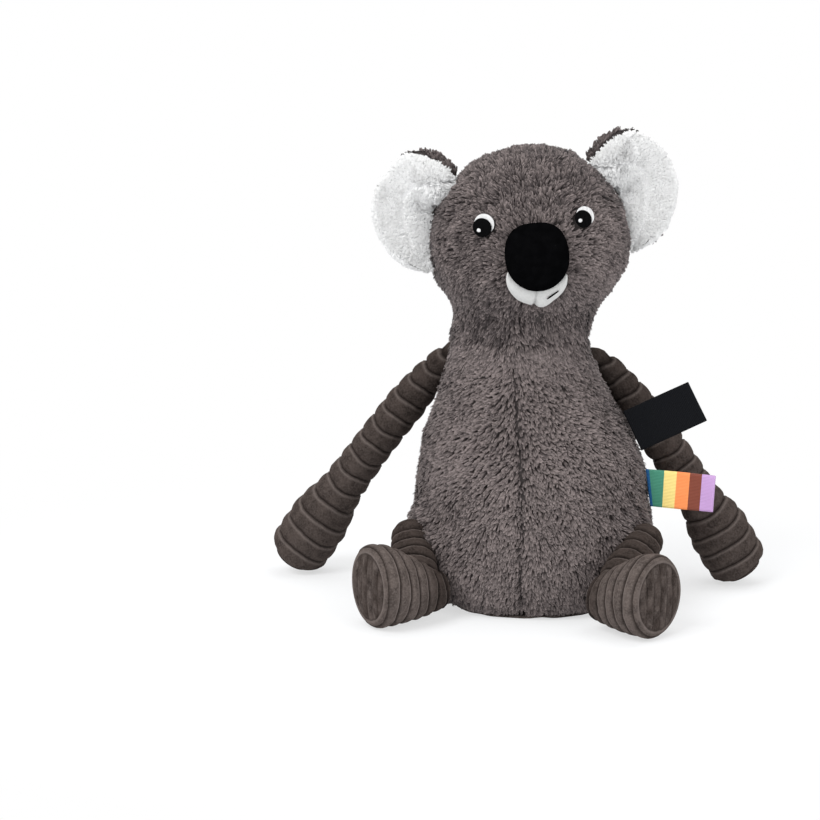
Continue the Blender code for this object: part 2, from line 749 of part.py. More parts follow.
def arm_radius(share, length):
    """Outer radius of an arm at a share of the way to the middle of the hand."""
    if share >= 1.0:
        past = (share - 1.0) * length / (HAND_RADIUS * HAND_END_SHARE)
        return HAND_RADIUS * max(1.0 - past ** HAND_END_POWER, 0.0) ** (1.0 / HAND_END_POWER)
    swell = from_table(ARM_SWELL_SHARES, share)
    radius = SHOULDER_RADIUS + (ARM_MIDDLE_RADIUS - SHOULDER_RADIUS) * swell
    middle_share = ARM_SWELL_SHARES[-1][0]
    if share > middle_share:
        to_wrist = min(1.0, (share - middle_share) / (WRIST_SHARE - middle_share))
        radius += (ARM_WRIST_RADIUS - ARM_MIDDLE_RADIUS) * to_wrist
    if share > WRIST_SHARE:
        to_hand = smooth_step((share - WRIST_SHARE) / (HAND_START_SHARE - WRIST_SHARE))
        radius += (HAND_RADIUS - radius) * to_hand
    return radius


def arm_profiles(length):
    """Outer, inner and filling profiles of an arm, from the shoulder's opening to the hand's end."""
    outer = [(-SHOULDER_RADIUS * math.cos(turn), SHOULDER_RADIUS * math.sin(turn))
             for turn in SHOULDER_TURNS]
    hand_end = HAND_RADIUS * HAND_END_SHARE
    reach = length + hand_end * HAND_LAST_RIB_SHARE
    first = SHOULDER_RADIUS * ARM_FIRST_RIB_SHARE
    pitch = (reach - first) / ARM_RIBS
    for rib in range(ARM_RIBS):
        start = first + pitch * rib
        depth = ARM_RIB_DEPTH * (ARM_FIRST_DEPTH_SHARE if rib == 0 else 1.0)
        valley = arm_radius(start / length, length) - depth
        crest = arm_radius((start + pitch / 2) / length, length)
        outer.append((start, valley))
        outer.append((start + pitch / 2, crest))
    last_radius = arm_radius(reach / length, length)
    outer.append((reach, last_radius))
    outer.append((length + hand_end * HAND_CAP_SHARE, last_radius * HAND_CAP_RADIUS_SHARE))
    draw_in = ARM_RIB_DEPTH + ARM_WALL
    inner = []
    for share in ARM_HOLLOW_SHARES:
        inner.append((length * share, max(arm_radius(share, length) - draw_in, 2 * ARM_WALL)))
    inner.append((reach - HAND_RADIUS * HAND_HOLLOW_BACK_SHARE, inner[-1][1] * HAND_HOLLOW_RADIUS_SHARE))
    mouth = (outer[0][0], outer[0][1] - ARM_WALL * SHOULDER_EDGE_SHARE)
    return outer, [mouth] + inner


def limb_frame(direction):
    """Across and up directions square to a limb."""
    across = direction.cross(Vector((0, 0, 1))).normalized()
    return across, across.cross(direction).normalized()


def make_arm(tree, side, name):
    """One arm: a ribbed velour skin, open where it is sewn on, and its filling."""
    start = shoulder(tree, side)
    end = hand(side)
    length = (end - start).length
    direction = (end - start).normalized()
    axes = limb_frame(direction)
    outer, inner = arm_profiles(length)

    def place(distance):
        share = min(max(distance / length, 0.0), 1.0)
        return start + direction * distance + axes[1] * (ARM_BOW * math.sin(HALF_TURN * share))

    def frame_at(distance):
        return axes

    outer_rings = turned_rings(outer, ARM_SIDES, place, frame_at)
    inner_rings = turned_rings(inner, ARM_SIDES, place, frame_at)
    tip = place(length + HAND_RADIUS * HAND_END_SHARE)
    inner_tip = place(inner[-1][0] + ARM_WALL)
    skin = loft_mesh(outer_rings[::-1] + inner_rings, start_tip=tip, end_tip=inner_tip)
    add_piece("arm_skin_" + name, skin, "velour", start)
    packed = [(distance, radius - CLOTH_GAP) for distance, radius in inner]
    packed_rings = turned_rings(packed, ARM_SIDES, place, frame_at)
    filling = loft_mesh(packed_rings, end_tip=place(inner[-1][0] + ARM_WALL - CLOTH_GAP))
    add_piece("arm_stuffing_" + name, filling, "filling", start)


def hip_outward(side):
    """The level direction in which a leg leaves the body."""
    angle = HIP_ANGLE_RIGHT if side > 0 else HIP_ANGLE_LEFT
    return Vector((math.sin(angle), -math.cos(angle), 0))


def hip(tree, side):
    """Centre of the rounded upper end of a leg."""
    outward = hip_outward(side)
    start = outward * FACE_REACH + Vector((0, 0, HIP_HEIGHT))
    return seat_on_body(tree, start, -outward, HIP_RADIUS)


def sole_facing(side):
    """The level direction that a sole faces."""
    angle = SOLE_FACING_RIGHT if side > 0 else SOLE_FACING_LEFT
    return Vector((math.sin(angle), -math.cos(angle), 0))


def sole_centre(side):
    """Middle of a sole that stands on the floor."""
    past = SOLE_PAST_BODY_RIGHT if side > 0 else SOLE_PAST_BODY_LEFT
    forward = SOLE_FORWARD_RIGHT if side > 0 else SOLE_FORWARD_LEFT
    return Vector((side * (BODY_HALF_WIDTH + past), -forward, FOOT_RADIUS + GAP))


def heel(side):
    """The corner that a leg's centre line bends round."""
    inside = HEEL_INSIDE_BODY_RIGHT if side > 0 else HEEL_INSIDE_BODY_LEFT
    forward = HEEL_FORWARD_RIGHT if side > 0 else HEEL_FORWARD_LEFT
    return Vector((side * (BODY_HALF_WIDTH - inside), -forward, HEEL_HEIGHT))


def leg_line(tree, side):
    """The centre line of a leg by share of its length: round the heel, then square to the sole."""
    start = hip(tree, side)
    corner = heel(side)
    end = sole_centre(side)
    facing = sole_facing(side)
    span = (corner - start).length / 2 + (end - corner).length
    drum = end - facing * span * DRUM_SHARE
    outward = hip_outward(side)

    def place(share):
        if share > 1 - DRUM_SHARE:
            return end - facing * span * (1 - share)
        if share < 0:
            return start + outward * (share * span)
        along = share / (1 - DRUM_SHARE)
        return start * (1 - along) ** 2 + corner * 2 * along * (1 - along) + drum * along ** 2

    def frame_at(share):
        along = min(max(share / (1 - DRUM_SHARE), 0.0), 1.0)
        dip = Vector((0, 0, -LEG_DIP_SHARE * math.sin(HALF_TURN * along)))
        return limb_frame((outward.lerp(facing, along) + dip).normalized())

    return place, frame_at, span


def leg_radius(share):
    """Outer radius of a leg, swelling from the thigh to the foot."""
    swell = smooth_step((share - THIGH_SHARE) / LEG_SWELL_SHARE)
    return THIGH_RADIUS + (FOOT_RADIUS - THIGH_RADIUS) * swell


def leg_profiles(span):
    """Outer and inner profiles of a leg over shares of its length, and where its sole is seated."""
    outer = [(-HIP_RADIUS * math.cos(turn) / span, HIP_RADIUS * math.sin(turn)) for turn in HIP_TURNS]
    pitch_share = (1.0 - LEG_FIRST_RIB_SHARE) / LEG_RIBS
    outer.append((LEG_FIRST_RIB_SHARE / 2, leg_radius(0)))
    for rib in range(LEG_RIBS):
        start = LEG_FIRST_RIB_SHARE + pitch_share * rib
        outer.append((start, leg_radius(start) - LEG_RIB_DEPTH))
        outer.append((start + pitch_share / 2, leg_radius(start + pitch_share / 2)))
    rim = 1.0 - SOLE_THICKNESS * SOLE_RIM_SHARE / span
    outer.append((rim, FOOT_RADIUS - LEG_RIB_DEPTH * SOLE_RIM_DEPTH_SHARE))
    outer.append((1.0, FOOT_RADIUS - LEG_RIB_DEPTH * SOLE_SEAM_DEPTH_SHARE))
    opening = SOLE_RADIUS + GAP
    outer.append((1.0, opening))
    draw_in = LEG_RIB_DEPTH + LEG_WALL
    seat_share = 1.0 - (SOLE_THICKNESS + GAP * 2) / span
    inner = []
    for share, slim_share in LEG_HOLLOW_SHARES:
        inner.append((share, min(leg_radius(share) - draw_in, opening) * slim_share))
    inner.append((seat_share, opening))
    return outer, inner, seat_share


def make_leg(tree, side, name):
    """One leg: a velour skin gathered to a firm thigh, with a filled foot and a round sole in its end."""
    place, frame_at, span = leg_line(tree, side)
    start = hip(tree, side)
    outer, inner, seat_share = leg_profiles(span)
    outer_rings = turned_rings(outer, LEG_SIDES, place, frame_at)
    inner_rings = turned_rings(inner, LEG_SIDES, place, frame_at)
    skin = loft_mesh(inner_rings + outer_rings[::-1], start_tip=place(LEG_HOLLOW_START_SHARE),
                     end_tip=place(-HIP_RADIUS / span))
    add_piece("leg_skin_" + name, skin, "velour", start)
    packed = [(share, radius - CLOTH_GAP) for share, radius in inner]
    filling = loft_mesh(turned_rings(packed, LEG_SIDES, place, frame_at),
                        start_tip=place(LEG_HOLLOW_START_SHARE + CLOTH_GAP * 2 / span))
    add_piece("leg_stuffing_" + name, filling, "filling", start)
    low_share = seat_share + GAP / span
    crown_share = 1.0 - SOLE_THICKNESS * SOLE_CROWN_SHARE / span
    sole = [(low_share, SOLE_RADIUS), (crown_share, SOLE_RADIUS),
            (1.0, SOLE_RADIUS * SOLE_CROWN_RADIUS_SHARE)]
    sole_mesh = loft_mesh(turned_rings(sole, LEG_SIDES, place, frame_at))
    add_piece("foot_sole_" + name, sole_mesh, "velour", start)


# Tags


def tag_outline(length):
    """Side view of a folded cloth loop: sewn at the root, open towards the fold."""
    half_root = TAG_PLY
    half_out = TAG_OPENING / 2 + TAG_PLY
    bend = half_out
    outline = [(0, half_root), (TAG_SEWN, half_root), (length / 2, half_out), (length - bend, half_out)]
    arc_steps = 4
    for step in range(1, arc_steps):
        angle = HALF_TURN / 2 - HALF_TURN * step / arc_steps
        outline.append((length - bend + bend * math.cos(angle), bend * math.sin(angle)))
    outline += [(along, -across) for along, across in outline[3::-1]]
    slot_half = TAG_OPENING / 2
    slot = [(TAG_SEWN, GAP / 2), (length / 2, slot_half), (length - bend, slot_half),
            (length - bend + slot_half, 0), (length - bend, -slot_half), (length / 2, -slot_half),
            (TAG_SEWN, -GAP / 2)]
    return outline, slot


def side_reach(tree, height, along, rise, edge):
    """How far along a tag's line the side seam lies, at a place across its width."""
    beside = Vector((BODY_HALF_WIDTH, -TAG_SET_FORWARD, height))
    hit = tree.ray_cast(beside + rise * edge + along * FACE_REACH, -along)[0]
    return (hit - beside).dot(along)


def make_tag(tree, name, slot_name, height, tilt, length, width):
    """A cloth loop that stands out from the side seam in a level or tilted line."""
    along = Vector((math.cos(tilt), 0, math.sin(tilt)))
    rise = Vector((-math.sin(tilt), 0, math.cos(tilt)))
    forward = Vector((0, -1, 0))
    places = [width * place / TAG_SEAT_STEPS - width / 2 for place in range(TAG_SEAT_STEPS + 1)]
    reaches = [side_reach(tree, height, along, rise, place) for place in places]
    slope = (reaches[-1] - reaches[0]) / width
    nearest = max(reach - slope * place for reach, place in zip(reaches, places))
    beside = Vector((BODY_HALF_WIDTH, -TAG_SET_FORWARD, height))
    root = beside + along * (nearest + TAG_SEAT_GAP)
    outline, slot = tag_outline(length)
    mesh = bmesh.new()
    walls = []
    for edge in (-width / 2, width / 2):
        slant = slope * edge
        loops = []
        for points in (outline, slot):
            loop = []
            for reach, off in points:
                sewn = slant if reach <= TAG_SEWN else 0.0
                loop.append(mesh.verts.new(root + along * (reach + sewn) + forward * off + rise * edge))
            loops.append(loop)
        walls.append(loops)
    for low, high in zip(walls[0], walls[1]):
        count = len(low)
        for side in range(count):
            after = (side + 1) % count
            mesh.faces.new((low[side], low[after], high[after], high[side]))
    for loops in walls:
        edges = [mesh.edges.get((loop[side], loop[(side + 1) % len(loop)]))
                 for loop in loops for side in range(len(loop))]
        bmesh.ops.triangle_fill(mesh, use_beauty=True, use_dissolve=False, edges=edges)
    bmesh.ops.recalc_face_normals(mesh, faces=mesh.faces[:])
    add_piece(name, mesh, slot_name, root)


def make_tags(tree):
    """The bare woven label and the striped ribbon loop."""
    make_tag(tree, "woven_label", "label_weave", LABEL_HEIGHT, LABEL_TILT, LABEL_LENGTH, LABEL_WIDTH)
    make_tag(tree, "striped_ribbon", "ribbon_weave", RIBBON_HEIGHT, RIBBON_TILT, RIBBON_LENGTH,
             RIBBON_WIDTH)


def main():
    """Build every piece of the toy."""
    clear_scene()
    make_body()
    make_head()
    face = head_tree()
    make_nose(face)
    make_mouth(face)
    make_mouth_stitch()
    make_eyes(face)
    make_ears()
    body = body_tree()
    for side, name in ((-1, "left"), (1, "right")):
        make_arm(body, side, name)
        make_leg(body, side, name)
    make_tags(body)


main()
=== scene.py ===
"""The looks of a sitting plush koala: brushed fur, cupped ears, velvet nose, ribbed limbs, tags.

Metres, +Z up, the toy faces -Y and sits on Z = 0. Left and right are the viewer's.
"""

import json
import math

import bmesh
import bpy
import numpy as np
from mathutils import Matrix, Vector
from mathutils.kdtree import KDTree


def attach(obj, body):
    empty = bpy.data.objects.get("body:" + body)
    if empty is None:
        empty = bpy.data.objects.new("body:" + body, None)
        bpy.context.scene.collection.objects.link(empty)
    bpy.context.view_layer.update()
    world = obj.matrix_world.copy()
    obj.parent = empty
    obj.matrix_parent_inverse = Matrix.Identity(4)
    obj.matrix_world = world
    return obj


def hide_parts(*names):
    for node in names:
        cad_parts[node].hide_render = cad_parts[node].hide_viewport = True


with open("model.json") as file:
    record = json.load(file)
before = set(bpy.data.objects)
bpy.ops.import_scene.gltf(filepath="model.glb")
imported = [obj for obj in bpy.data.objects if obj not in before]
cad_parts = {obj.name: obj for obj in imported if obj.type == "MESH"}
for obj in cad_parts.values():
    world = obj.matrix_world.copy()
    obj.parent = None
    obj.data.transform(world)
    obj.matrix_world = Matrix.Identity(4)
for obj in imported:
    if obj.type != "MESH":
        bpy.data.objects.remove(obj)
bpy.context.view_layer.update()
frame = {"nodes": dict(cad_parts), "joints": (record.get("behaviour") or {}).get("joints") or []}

SEED = 7
TURN = 2.0 * math.pi
WAVE_COUNT = 7
WELD = 0.000002
NODE_WELD = 0.00001
FLOOR_CLEAR = 0.0004

# Camera
LOOK_AT = Vector((0.0, 0.0, 0.150))
CAMERA_DISTANCE = 1.8
CAMERA_AZIMUTH = math.radians(6.0)
CAMERA_RISE = math.radians(9.4)
CAMERA_LENS = 117.96
CAMERA_SHIFT = (-0.148, -0.034)

# Lamps: name, place, size, power
LAMPS = (("key", (-0.9, -1.5, 1.7), 1.2, 36.0), ("fill", (1.5, -1.3, 1.0), 1.4, 15.0),
         ("top", (0.1, 0.3, 2.0), 1.4, 12.0))
LAMPS_AIM = Vector((0.0, 0.0, 0.14))
WORLD_LIGHT = 0.56

# Body and head, as the solids have them
BODY_MIDDLE = Vector((0.0, 0.0, 0.085))
NECK_HEIGHT = 0.182
NECK = Vector((-0.008, 0.0, NECK_HEIGHT))
NECK_BAND = 0.004
NECK_INSET = 0.005
BODY_LEAN = 0.008
HEAD_CENTRE = Vector((-0.001, -0.006, 0.249))
HEAD_ROLL = math.radians(5.5)
HEAD_TURN = math.radians(10.0)

# Face places, across and up from the head's centre
NOSE = (0.001, -0.0065)
NOSE_HALF = (0.0190, 0.0207)
NOSE_POWER = 2.3
NOSE_WIDER = 1.03
MOUTH_HALF = (0.0180, 0.0127)
MOUTH_MIDDLE = -0.0265
MOUTH_TOP = -0.012
MOUTH_SWING = math.radians(8.0)
EYES = {"left": (-0.0303, 0.0128), "right": (0.0323, 0.0128)}
PUPIL_CLEAR = 0.0057
GROUND_CLEAR = 0.0062
GROUND_OFFSET = (0.0014, 0.0026)
GROUND_SIZE = 0.90
EYE_SQUASH = 0.12
EYE_MOVES = {"eye_ground_left": (-0.0015, 0.0011), "eye_left": (-0.0011, 0.0014),
             "eye_spark_left": (-0.0010, 0.0014), "eye_ground_right": (0.0004, -0.0006),
             "eye_right": (-0.0004, 0.0001), "eye_spark_right": (-0.0014, 0.0010)}

# Fur: how deep it is rooted, the tufts of each part, their blades, and their length and width
PILE_ROOT = 0.0030
BODY_TUFTS = 30000
HEAD_TUFTS = 17500
NECK_SCATTER = 26000
EAR_BACK_TUFTS = 2600
EAR_FRONT_TUFTS = 3600
EAR_RIM_TUFTS = 4200
EAR_RIM = 0.0035
EAR_PAD_PLACES = 4000
EAR_PAD_REACH = 0.0062
EAR_EDGE = (0.078, 0.030)
TUFT_BLADES = 7
PANEL_BLADES = 64000
BODY_PILE = 0.0092
HEAD_PILE = 0.0086
NECK_PILE = 0.0100
WIDE_BLADE = 0.00056
FINE_BLADE = 0.00054
WHITE_BLADE = 0.00060
TUFT_SPREAD = 0.0009
TUFT_GATHER = 0.60
TUFT_WAVE = 0.0009
TUFT_UNEVEN = 0.13

# Where the body's seams fade out under the neck, and the last of the body's pile stands
SEAM_TOP = 0.176
PILE_TOP = 0.183

# How steeply blades stand off the skin at their root and at their tip, in degrees
BODY_LIE = (46.0, 6.0)
HEAD_LIE = (50.0, 7.0)
NECK_LIE = (24.0, 4.0)
EAR_BACK_LIE = (46.0, 5.0)
EAR_EDGE_LIE = (50.0, 10.0)
EAR_FRONT_LIE = (54.0, 8.0)

# Tones of the pile, from 0 dark to 1 light
BODY_TONE = 0.63
HEAD_TONE = 0.39
NECK_TONE = 0.56
EAR_BACK_TONE = 0.50
EAR_EDGE_TONE = 0.45
EAR_FRONT_TONE = 0.60

# Waves in the pile's lie and tone: size, seed, depth
BODY_SWING = ((0.030, 11, 0.30), (0.010, 12, 0.28))
BODY_TONES = ((0.045, 21, 0.06), (0.008, 22, 0.07))
HEAD_SWING = ((0.020, 31, 0.9), (0.008, 32, 0.6))
HEAD_TONES = ((0.030, 41, 0.08), (0.008, 42, 0.12))
EAR_BACK_SWING = ((0.015, 51, 0.4),)
EAR_BACK_TONES = ((0.02, 52, 0.10), (0.007, 53, 0.12))
EAR_FRONT_SWING = ((0.014, 61, 0.9), (0.006, 62, 0.5))


# Small tools


def deselect_all():
    """Leave edit mode and select nothing."""
    if bpy.context.object and bpy.context.object.mode != "OBJECT":
        bpy.ops.object.mode_set(mode="OBJECT")
    bpy.ops.object.select_all(action="DESELECT")


def select(*pieces):
    """Select only these pieces and make the first one active."""
    deselect_all()
    for piece in pieces:
        piece.select_set(True)
    bpy.context.view_layer.objects.active = pieces[0]


def start(name):
    """Name the primitive that was just added and open it for editing, all of it selected."""
    piece = bpy.context.object
    piece.name = name
    piece.data.name = name
    bpy.ops.object.mode_set(mode="EDIT")
    bpy.ops.mesh.select_all(action="SELECT")
    return piece


def close_edit(piece):
    """Leave edit mode with the normals outward and the place in the mesh."""
    bpy.ops.mesh.select_all(action="SELECT")
    bpy.ops.mesh.remove_doubles(threshold=WELD)
    bpy.ops.mesh.normals_make_consistent(inside=False)
    bpy.ops.object.mode_set(mode="OBJECT")
    bpy.ops.object.transform_apply(location=True, rotation=True, scale=True)
    return piece


def draw_ring(rise, grow):
    """Extrude the selected ring upward and scale it about the Z axis."""
    bpy.ops.mesh.extrude_region_move(TRANSFORM_OT_translate={"value": (0.0, 0.0, rise)})
    bpy.ops.transform.resize(value=(grow, grow, 1.0), center_override=(0.0, 0.0, 0.0))


def close_ring():
    """Close the selected ring at its middle."""
    bpy.ops.mesh.extrude_region_move()
    bpy.ops.mesh.merge(type="CENTER")


def select_at(piece, axis, place):
    """Select only the points that lie at a place along an axis, and the edges between them."""
    bpy.ops.mesh.select_all(action="DESELECT")
    mesh = bmesh.from_edit_mesh(piece.data)
    for vertex in mesh.verts:
        vertex.select = abs(vertex.co[axis] - place) < 1e-6
    mesh.select_flush(True)
    bmesh.update_edit_mesh(piece.data)


def apply_modifier(piece, kind, **settings):
    """Add one modifier with its settings and apply it."""
    bpy.context.view_layer.objects.active = piece
    modifier = piece.modifiers.new(kind.lower(), kind)
    for key, value in settings.items():
        setattr(modifier, key, value)
    bpy.ops.object.modifier_apply(modifier=modifier.name)


def places_of(piece):
    """A mesh's points as an array."""
    places = np.empty(len(piece.data.vertices) * 3)
    piece.data.vertices.foreach_get("co", places)
    return places.reshape(-1, 3)


def set_places(piece, places):
    """Put an array of points back into a mesh."""
    flat = np.ascontiguousarray(places, dtype=np.float32).ravel()
    piece.data.vertices.foreach_set("co", flat)
    piece.data.update()


def mark(piece, name, values):
    """Keep one number at each point of a mesh for its material."""
    attribute = piece.data.attributes.new(name, "FLOAT", "POINT")
    attribute.data.foreach_set("value", np.asarray(values, dtype=np.float32))


def linked(name, data):
    """A new object in the scene that holds the data."""
    piece = bpy.data.objects.new(name, data)
    bpy.context.scene.collection.objects.link(piece)
    return piece


def node_mesh(node):
    """A CAD node as a bmesh, its loose triangles merged."""
    mesh = bmesh.new()
    mesh.from_mesh(frame["nodes"][node].data)
    bmesh.ops.remove_doubles(mesh, verts=mesh.verts[:], dist=NODE_WELD)
    return mesh


def copied_node(node, name):
    """A copy of a CAD node under a new name, active and alone in the selection."""
    data = bpy.data.meshes.new(name)
    mesh = node_mesh(node)
    mesh.to_mesh(data)
    mesh.free()
    data.materials.clear()
    piece = linked(name, data)
    select(piece)
    return piece


def dress(piece, material, body, nodes):
    """Give a piece its material and body, and let it stand for its nodes."""
    piece.data.materials.append(material)
    piece.data.shade_smooth()
    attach(piece, body)
    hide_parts(*nodes)


def ease(values):
    """Ease from 0 to 1, level at both ends."""
    values = np.clip(values, 0.0, 1.0)
    return values * values * (3.0 - 2.0 * values)


def bell(values, width):
    """1 at the middle, falling to nothing at about two widths to each side."""
    return np.exp(-(values / width) ** 2)


def unit(vectors):
    """Rows of an array brought to length 1."""
    return vectors / np.maximum(np.linalg.norm(vectors, axis=-1, keepdims=True), 1e-9)


def columns(*values):
    """Arrays and plain numbers side by side."""
    return np.stack(np.broadcast_arrays(*values), axis=1)


def kept_rows(mask, *rows):
    """The marked entries of each array."""
    return [row[mask] for row in rows]


def waves(places, size, seed):
    """A smooth random value from -1 to 1 at each place, in waves of about the given size."""
    dice = np.random.default_rng(seed)
    directions = unit(dice.normal(size=(WAVE_COUNT, 3)))
    lengths = size * dice.uniform(0.7, 1.5, size=WAVE_COUNT)
    phases = dice.uniform(0.0, TURN, size=WAVE_COUNT)
    total = np.zeros(len(places))
    for direction, length, phase in zip(directions, lengths, phases):
        total += np.sin(places @ direction * TURN / length + phase)
    return total / math.sqrt(WAVE_COUNT * 0.5) * 0.6


def ripple(places, rows):
    """The sum of waves given as (size, seed, depth) rows."""
    return sum(waves(places, size, seed) * depth for size, seed, depth in rows)


# Materials


def scaled(colour, share):
    """A colour made darker or lighter."""
    return tuple(part * share for part in colour)


class Value:
    """A shader socket that takes part in arithmetic."""

    def __init__(self, paint, socket):
        self.paint = paint
        self.socket = socket

    def combine(self, operation, first, second):
        return self.paint.node("ShaderNodeMath", {"operation": operation}, {0: first, 1: second})

    def __add__(self, other):
        return self.combine("ADD", self, other)

    def __rsub__(self, other):
        return self.combine("SUBTRACT", other, self)

    def __mul__(self, other):
        return self.combine("MULTIPLY", self, other)


class Paint:
    """One material and the nodes that are added to it."""

    def __init__(self, name, roughness=0.9, sheen=0.0, specular=0.2):
        self.material = bpy.data.materials.new(name)
        self.material.use_nodes = True
        self.tree = self.material.node_tree
        self.shader = self.tree.nodes["Principled BSDF"]
        self.shader.inputs["Roughness"].default_value = roughness
        self.shader.inputs["Specular IOR Level"].default_value = specular
        self.shader.inputs["Sheen Weight"].default_value = sheen
        self.shader.inputs["Sheen Roughness"].default_value = 0.45

    def link(self, value, socket):
        self.tree.links.new(value.socket, socket)

    def node(self, kind, settings=None, inputs=None, output=0):
        made = self.tree.nodes.new(kind)
        for key, value in (settings or {}).items():
            setattr(made, key, value)
        for key, value in (inputs or {}).items():
            if isinstance(value, Value):
                self.link(value, made.inputs[key])
            else:
                made.inputs[key].default_value = value
        return Value(self, made.outputs[output])

    def place(self):
        """Object coordinates."""
        return self.node("ShaderNodeTexCoord", output="Object")

    def uv_map(self, name):
        """A UV map and its two parts."""
        where = self.node("ShaderNodeUVMap", {"uv_map": name})
        parts = self.tree.nodes.new("ShaderNodeSeparateXYZ")
        self.link(where, parts.inputs[0])
        return where, Value(self, parts.outputs[0]), Value(self, parts.outputs[1])

    def noise(self, size, detail=2.0):
        """Noise with features of about a size in metres."""
        return self.node("ShaderNodeTexNoise", {},
                         {"Vector": self.place(), "Scale": 1.0 / size, "Detail": detail})

    def bands(self, where, direction, pitch, **inputs):
        """Soft parallel lines at a pitch in metres."""
        inputs = {key.replace("_", " "): value for key, value in inputs.items()}
        return self.node("ShaderNodeTexWave", {"wave_type": "BANDS", "bands_direction": direction},
                         {"Vector": where, "Scale": 1.0 / (pitch * 6.2832), **inputs}, "Fac")

    def attribute(self, name):
        return self.node("ShaderNodeAttribute", {"attribute_name": name}, output="Fac")

    def ramp(self, value, stops, interpolation="LINEAR"):
        """A colour for each value, from (place, colour) stops."""
        made = self.tree.nodes.new("ShaderNodeValToRGB")
        ramp = made.color_ramp
        ramp.interpolation = interpolation
        while len(ramp.elements) < len(stops):
            ramp.elements.new(0.5)
        for element, (place, colour) in zip(ramp.elements, stops):
            element.position = place
            element.color = (*colour, 1.0)
        self.link(value, made.inputs["Fac"])
        return Value(self, made.outputs[0])

    def window(self, value, low, high):
        """Black below one value, white above another."""
        return self.ramp(value, ((low, (0, 0, 0)), (high, (1, 1, 1))))

    def mix(self, share, first, second, blend="MIX"):
        made = self.tree.nodes.new("ShaderNodeMix")
        made.data_type = "RGBA"
        made.blend_type = blend
        for index, value in ((0, share), (6, first), (7, second)):
            if isinstance(value, Value):
                self.link(value, made.inputs[index])
            elif index == 0:
                made.inputs[index].default_value = value
            else:
                made.inputs[index].default_value = (*value, 1.0)
        return Value(self, made.outputs[2])

    def coat(self, share, first, second, height=None, depth=0.0, blend="MIX"):
        """Mix two colours by a share and let a height stand depth metres high."""
        self.link(self.mix(share, first, second, blend), self.shader.inputs["Base Color"])
        if height:
            normal = self.node("ShaderNodeBump", {},
                               {"Height": height, "Distance": depth, "Strength": 1.0})
            self.link(normal, self.shader.inputs["Normal"])
        return self.material


def fur_paint(name, root, middle, dark, light):
    """Pile that is dark at the root and light at the tip, each blade in its own tone; the dark root
    is painted shade deep in the pile.
    """
    paint = Paint(name, roughness=0.85, sheen=0.15, specular=0.15)
    _, tone, along = paint.uv_map("OFBake")
    root_shade = paint.ramp(along, ((0.0, root), (0.50, middle), (1.0, (1.0, 1.0, 1.0))))
    tone_colour = paint.ramp(tone, ((0.0, dark), (1.0, light)))
    return paint.coat(1.0, root_shade, tone_colour, blend="MULTIPLY")


def backing_paint(name, colour):
    """Knitted backing cloth under the pile."""
    paint = Paint(name, roughness=0.95)
    fine = paint.noise(0.0012, 3.0)
    return paint.coat(fine, scaled(colour, 0.7), colour, fine, 0.0004)


def velour_paint(name, deep, middle, light):
    """Short velour nap: painted shade in the creases and where the shade attribute is high, a fine
    light line on each ridge, brushed patches.
    """
    paint = Paint(name, roughness=0.95, sheen=0.10, specular=0.03)
    paint.shader.inputs["Sheen Tint"].default_value = (0.55, 0.42, 0.36, 1.0)
    patch = paint.window(paint.noise(0.007, 3.0), 0.36, 0.64)
    nap = paint.noise(0.0013, 3.0)
    shade = paint.attribute("shade")
    ground = paint.mix(patch, scaled(middle, 0.66), scaled(middle, 1.30))
    flecked = paint.mix(paint.window(nap, 0.38, 0.70), ground, light)
    # Painted shade: darker in the creases, then darker again where the shade attribute is high.
    creased = paint.mix(paint.attribute("crease_shade"), paint.mix(0.60, ground, flecked), deep)
    shaded = paint.mix(shade, creased, (0.40, 0.38, 0.37), "MULTIPLY")
    ridge = paint.attribute("ridge") * (0.80 - shade * 0.35)
    return paint.coat(ridge, shaded, light, nap + paint.noise(0.003) * 0.6, 0.0005)


def velvet_paint(name, colour, sheen_colour):
    """Matt black velvet with painted sheen: a little lighter in patches where its brushed nap
    catches the light.
    """
    paint = Paint(name, roughness=1.0, specular=0.0)
    sheen_patches = paint.window(paint.noise(0.006, 3.0), 0.4, 0.75)
    return paint.coat(sheen_patches, colour, sheen_colour, paint.noise(0.0007), 0.0003)


def minky_paint(name, low, high):
    """Smooth short white pile, darkened along its seam as painted shade."""
    paint = Paint(name, roughness=0.9, sheen=0.3, specular=0.2)
    fine = paint.noise(0.0009, 3.0)
    ground = paint.mix(fine, low, high)
    return paint.coat(paint.attribute("seam_shade"), ground, scaled(low, 0.45), fine, 0.0003)


def thread_paint(name, colour, gap_shade):
    """Satin stitch: close parallel threads with a soft gloss and painted shade in the gaps between
    them.
    """
    paint = Paint(name, roughness=0.5, specular=0.02)
    threads = paint.bands(paint.place(), "X", 0.00042, Distortion=0.6, Detail=1.0, Detail_Scale=2.0)
    return paint.coat(threads, gap_shade, colour, threads, 0.00022)


def weave_paint(name, colour, gap_shade):
    """A plain ribbon weave whose weft shows as fine cross lines, with painted shade between them.
    """
    paint = Paint(name, roughness=0.8, specular=0.1, sheen=0.03)
    across = paint.bands(paint.node("ShaderNodeUVMap", {"uv_map": "cloth"}), "X", 0.00055)
    fine = paint.noise(0.0006)
    return paint.coat(across * 0.6 + fine * 0.4, gap_shade, colour, across + fine * 0.5, 0.00015)


def ribbon_paint(name, stops):
    """Woven satin ribbon in plain bars that run across it."""
    paint = Paint(name, roughness=0.5, specular=0.35, sheen=0.1)
    cloth, along, _ = paint.uv_map("cloth")
    bars = paint.ramp(along * (1.0 / RIBBON_LENGTH), stops, "CONSTANT")
    threads = paint.bands(cloth, "Y", 0.0005)
    shade = paint.ramp(threads, ((0.0, (0.86, 0.86, 0.86)), (1.0, (1.0, 1.0, 1.0))))
    return paint.coat(1.0, bars, shade, threads, 0.00012, "MULTIPLY")


# Pile


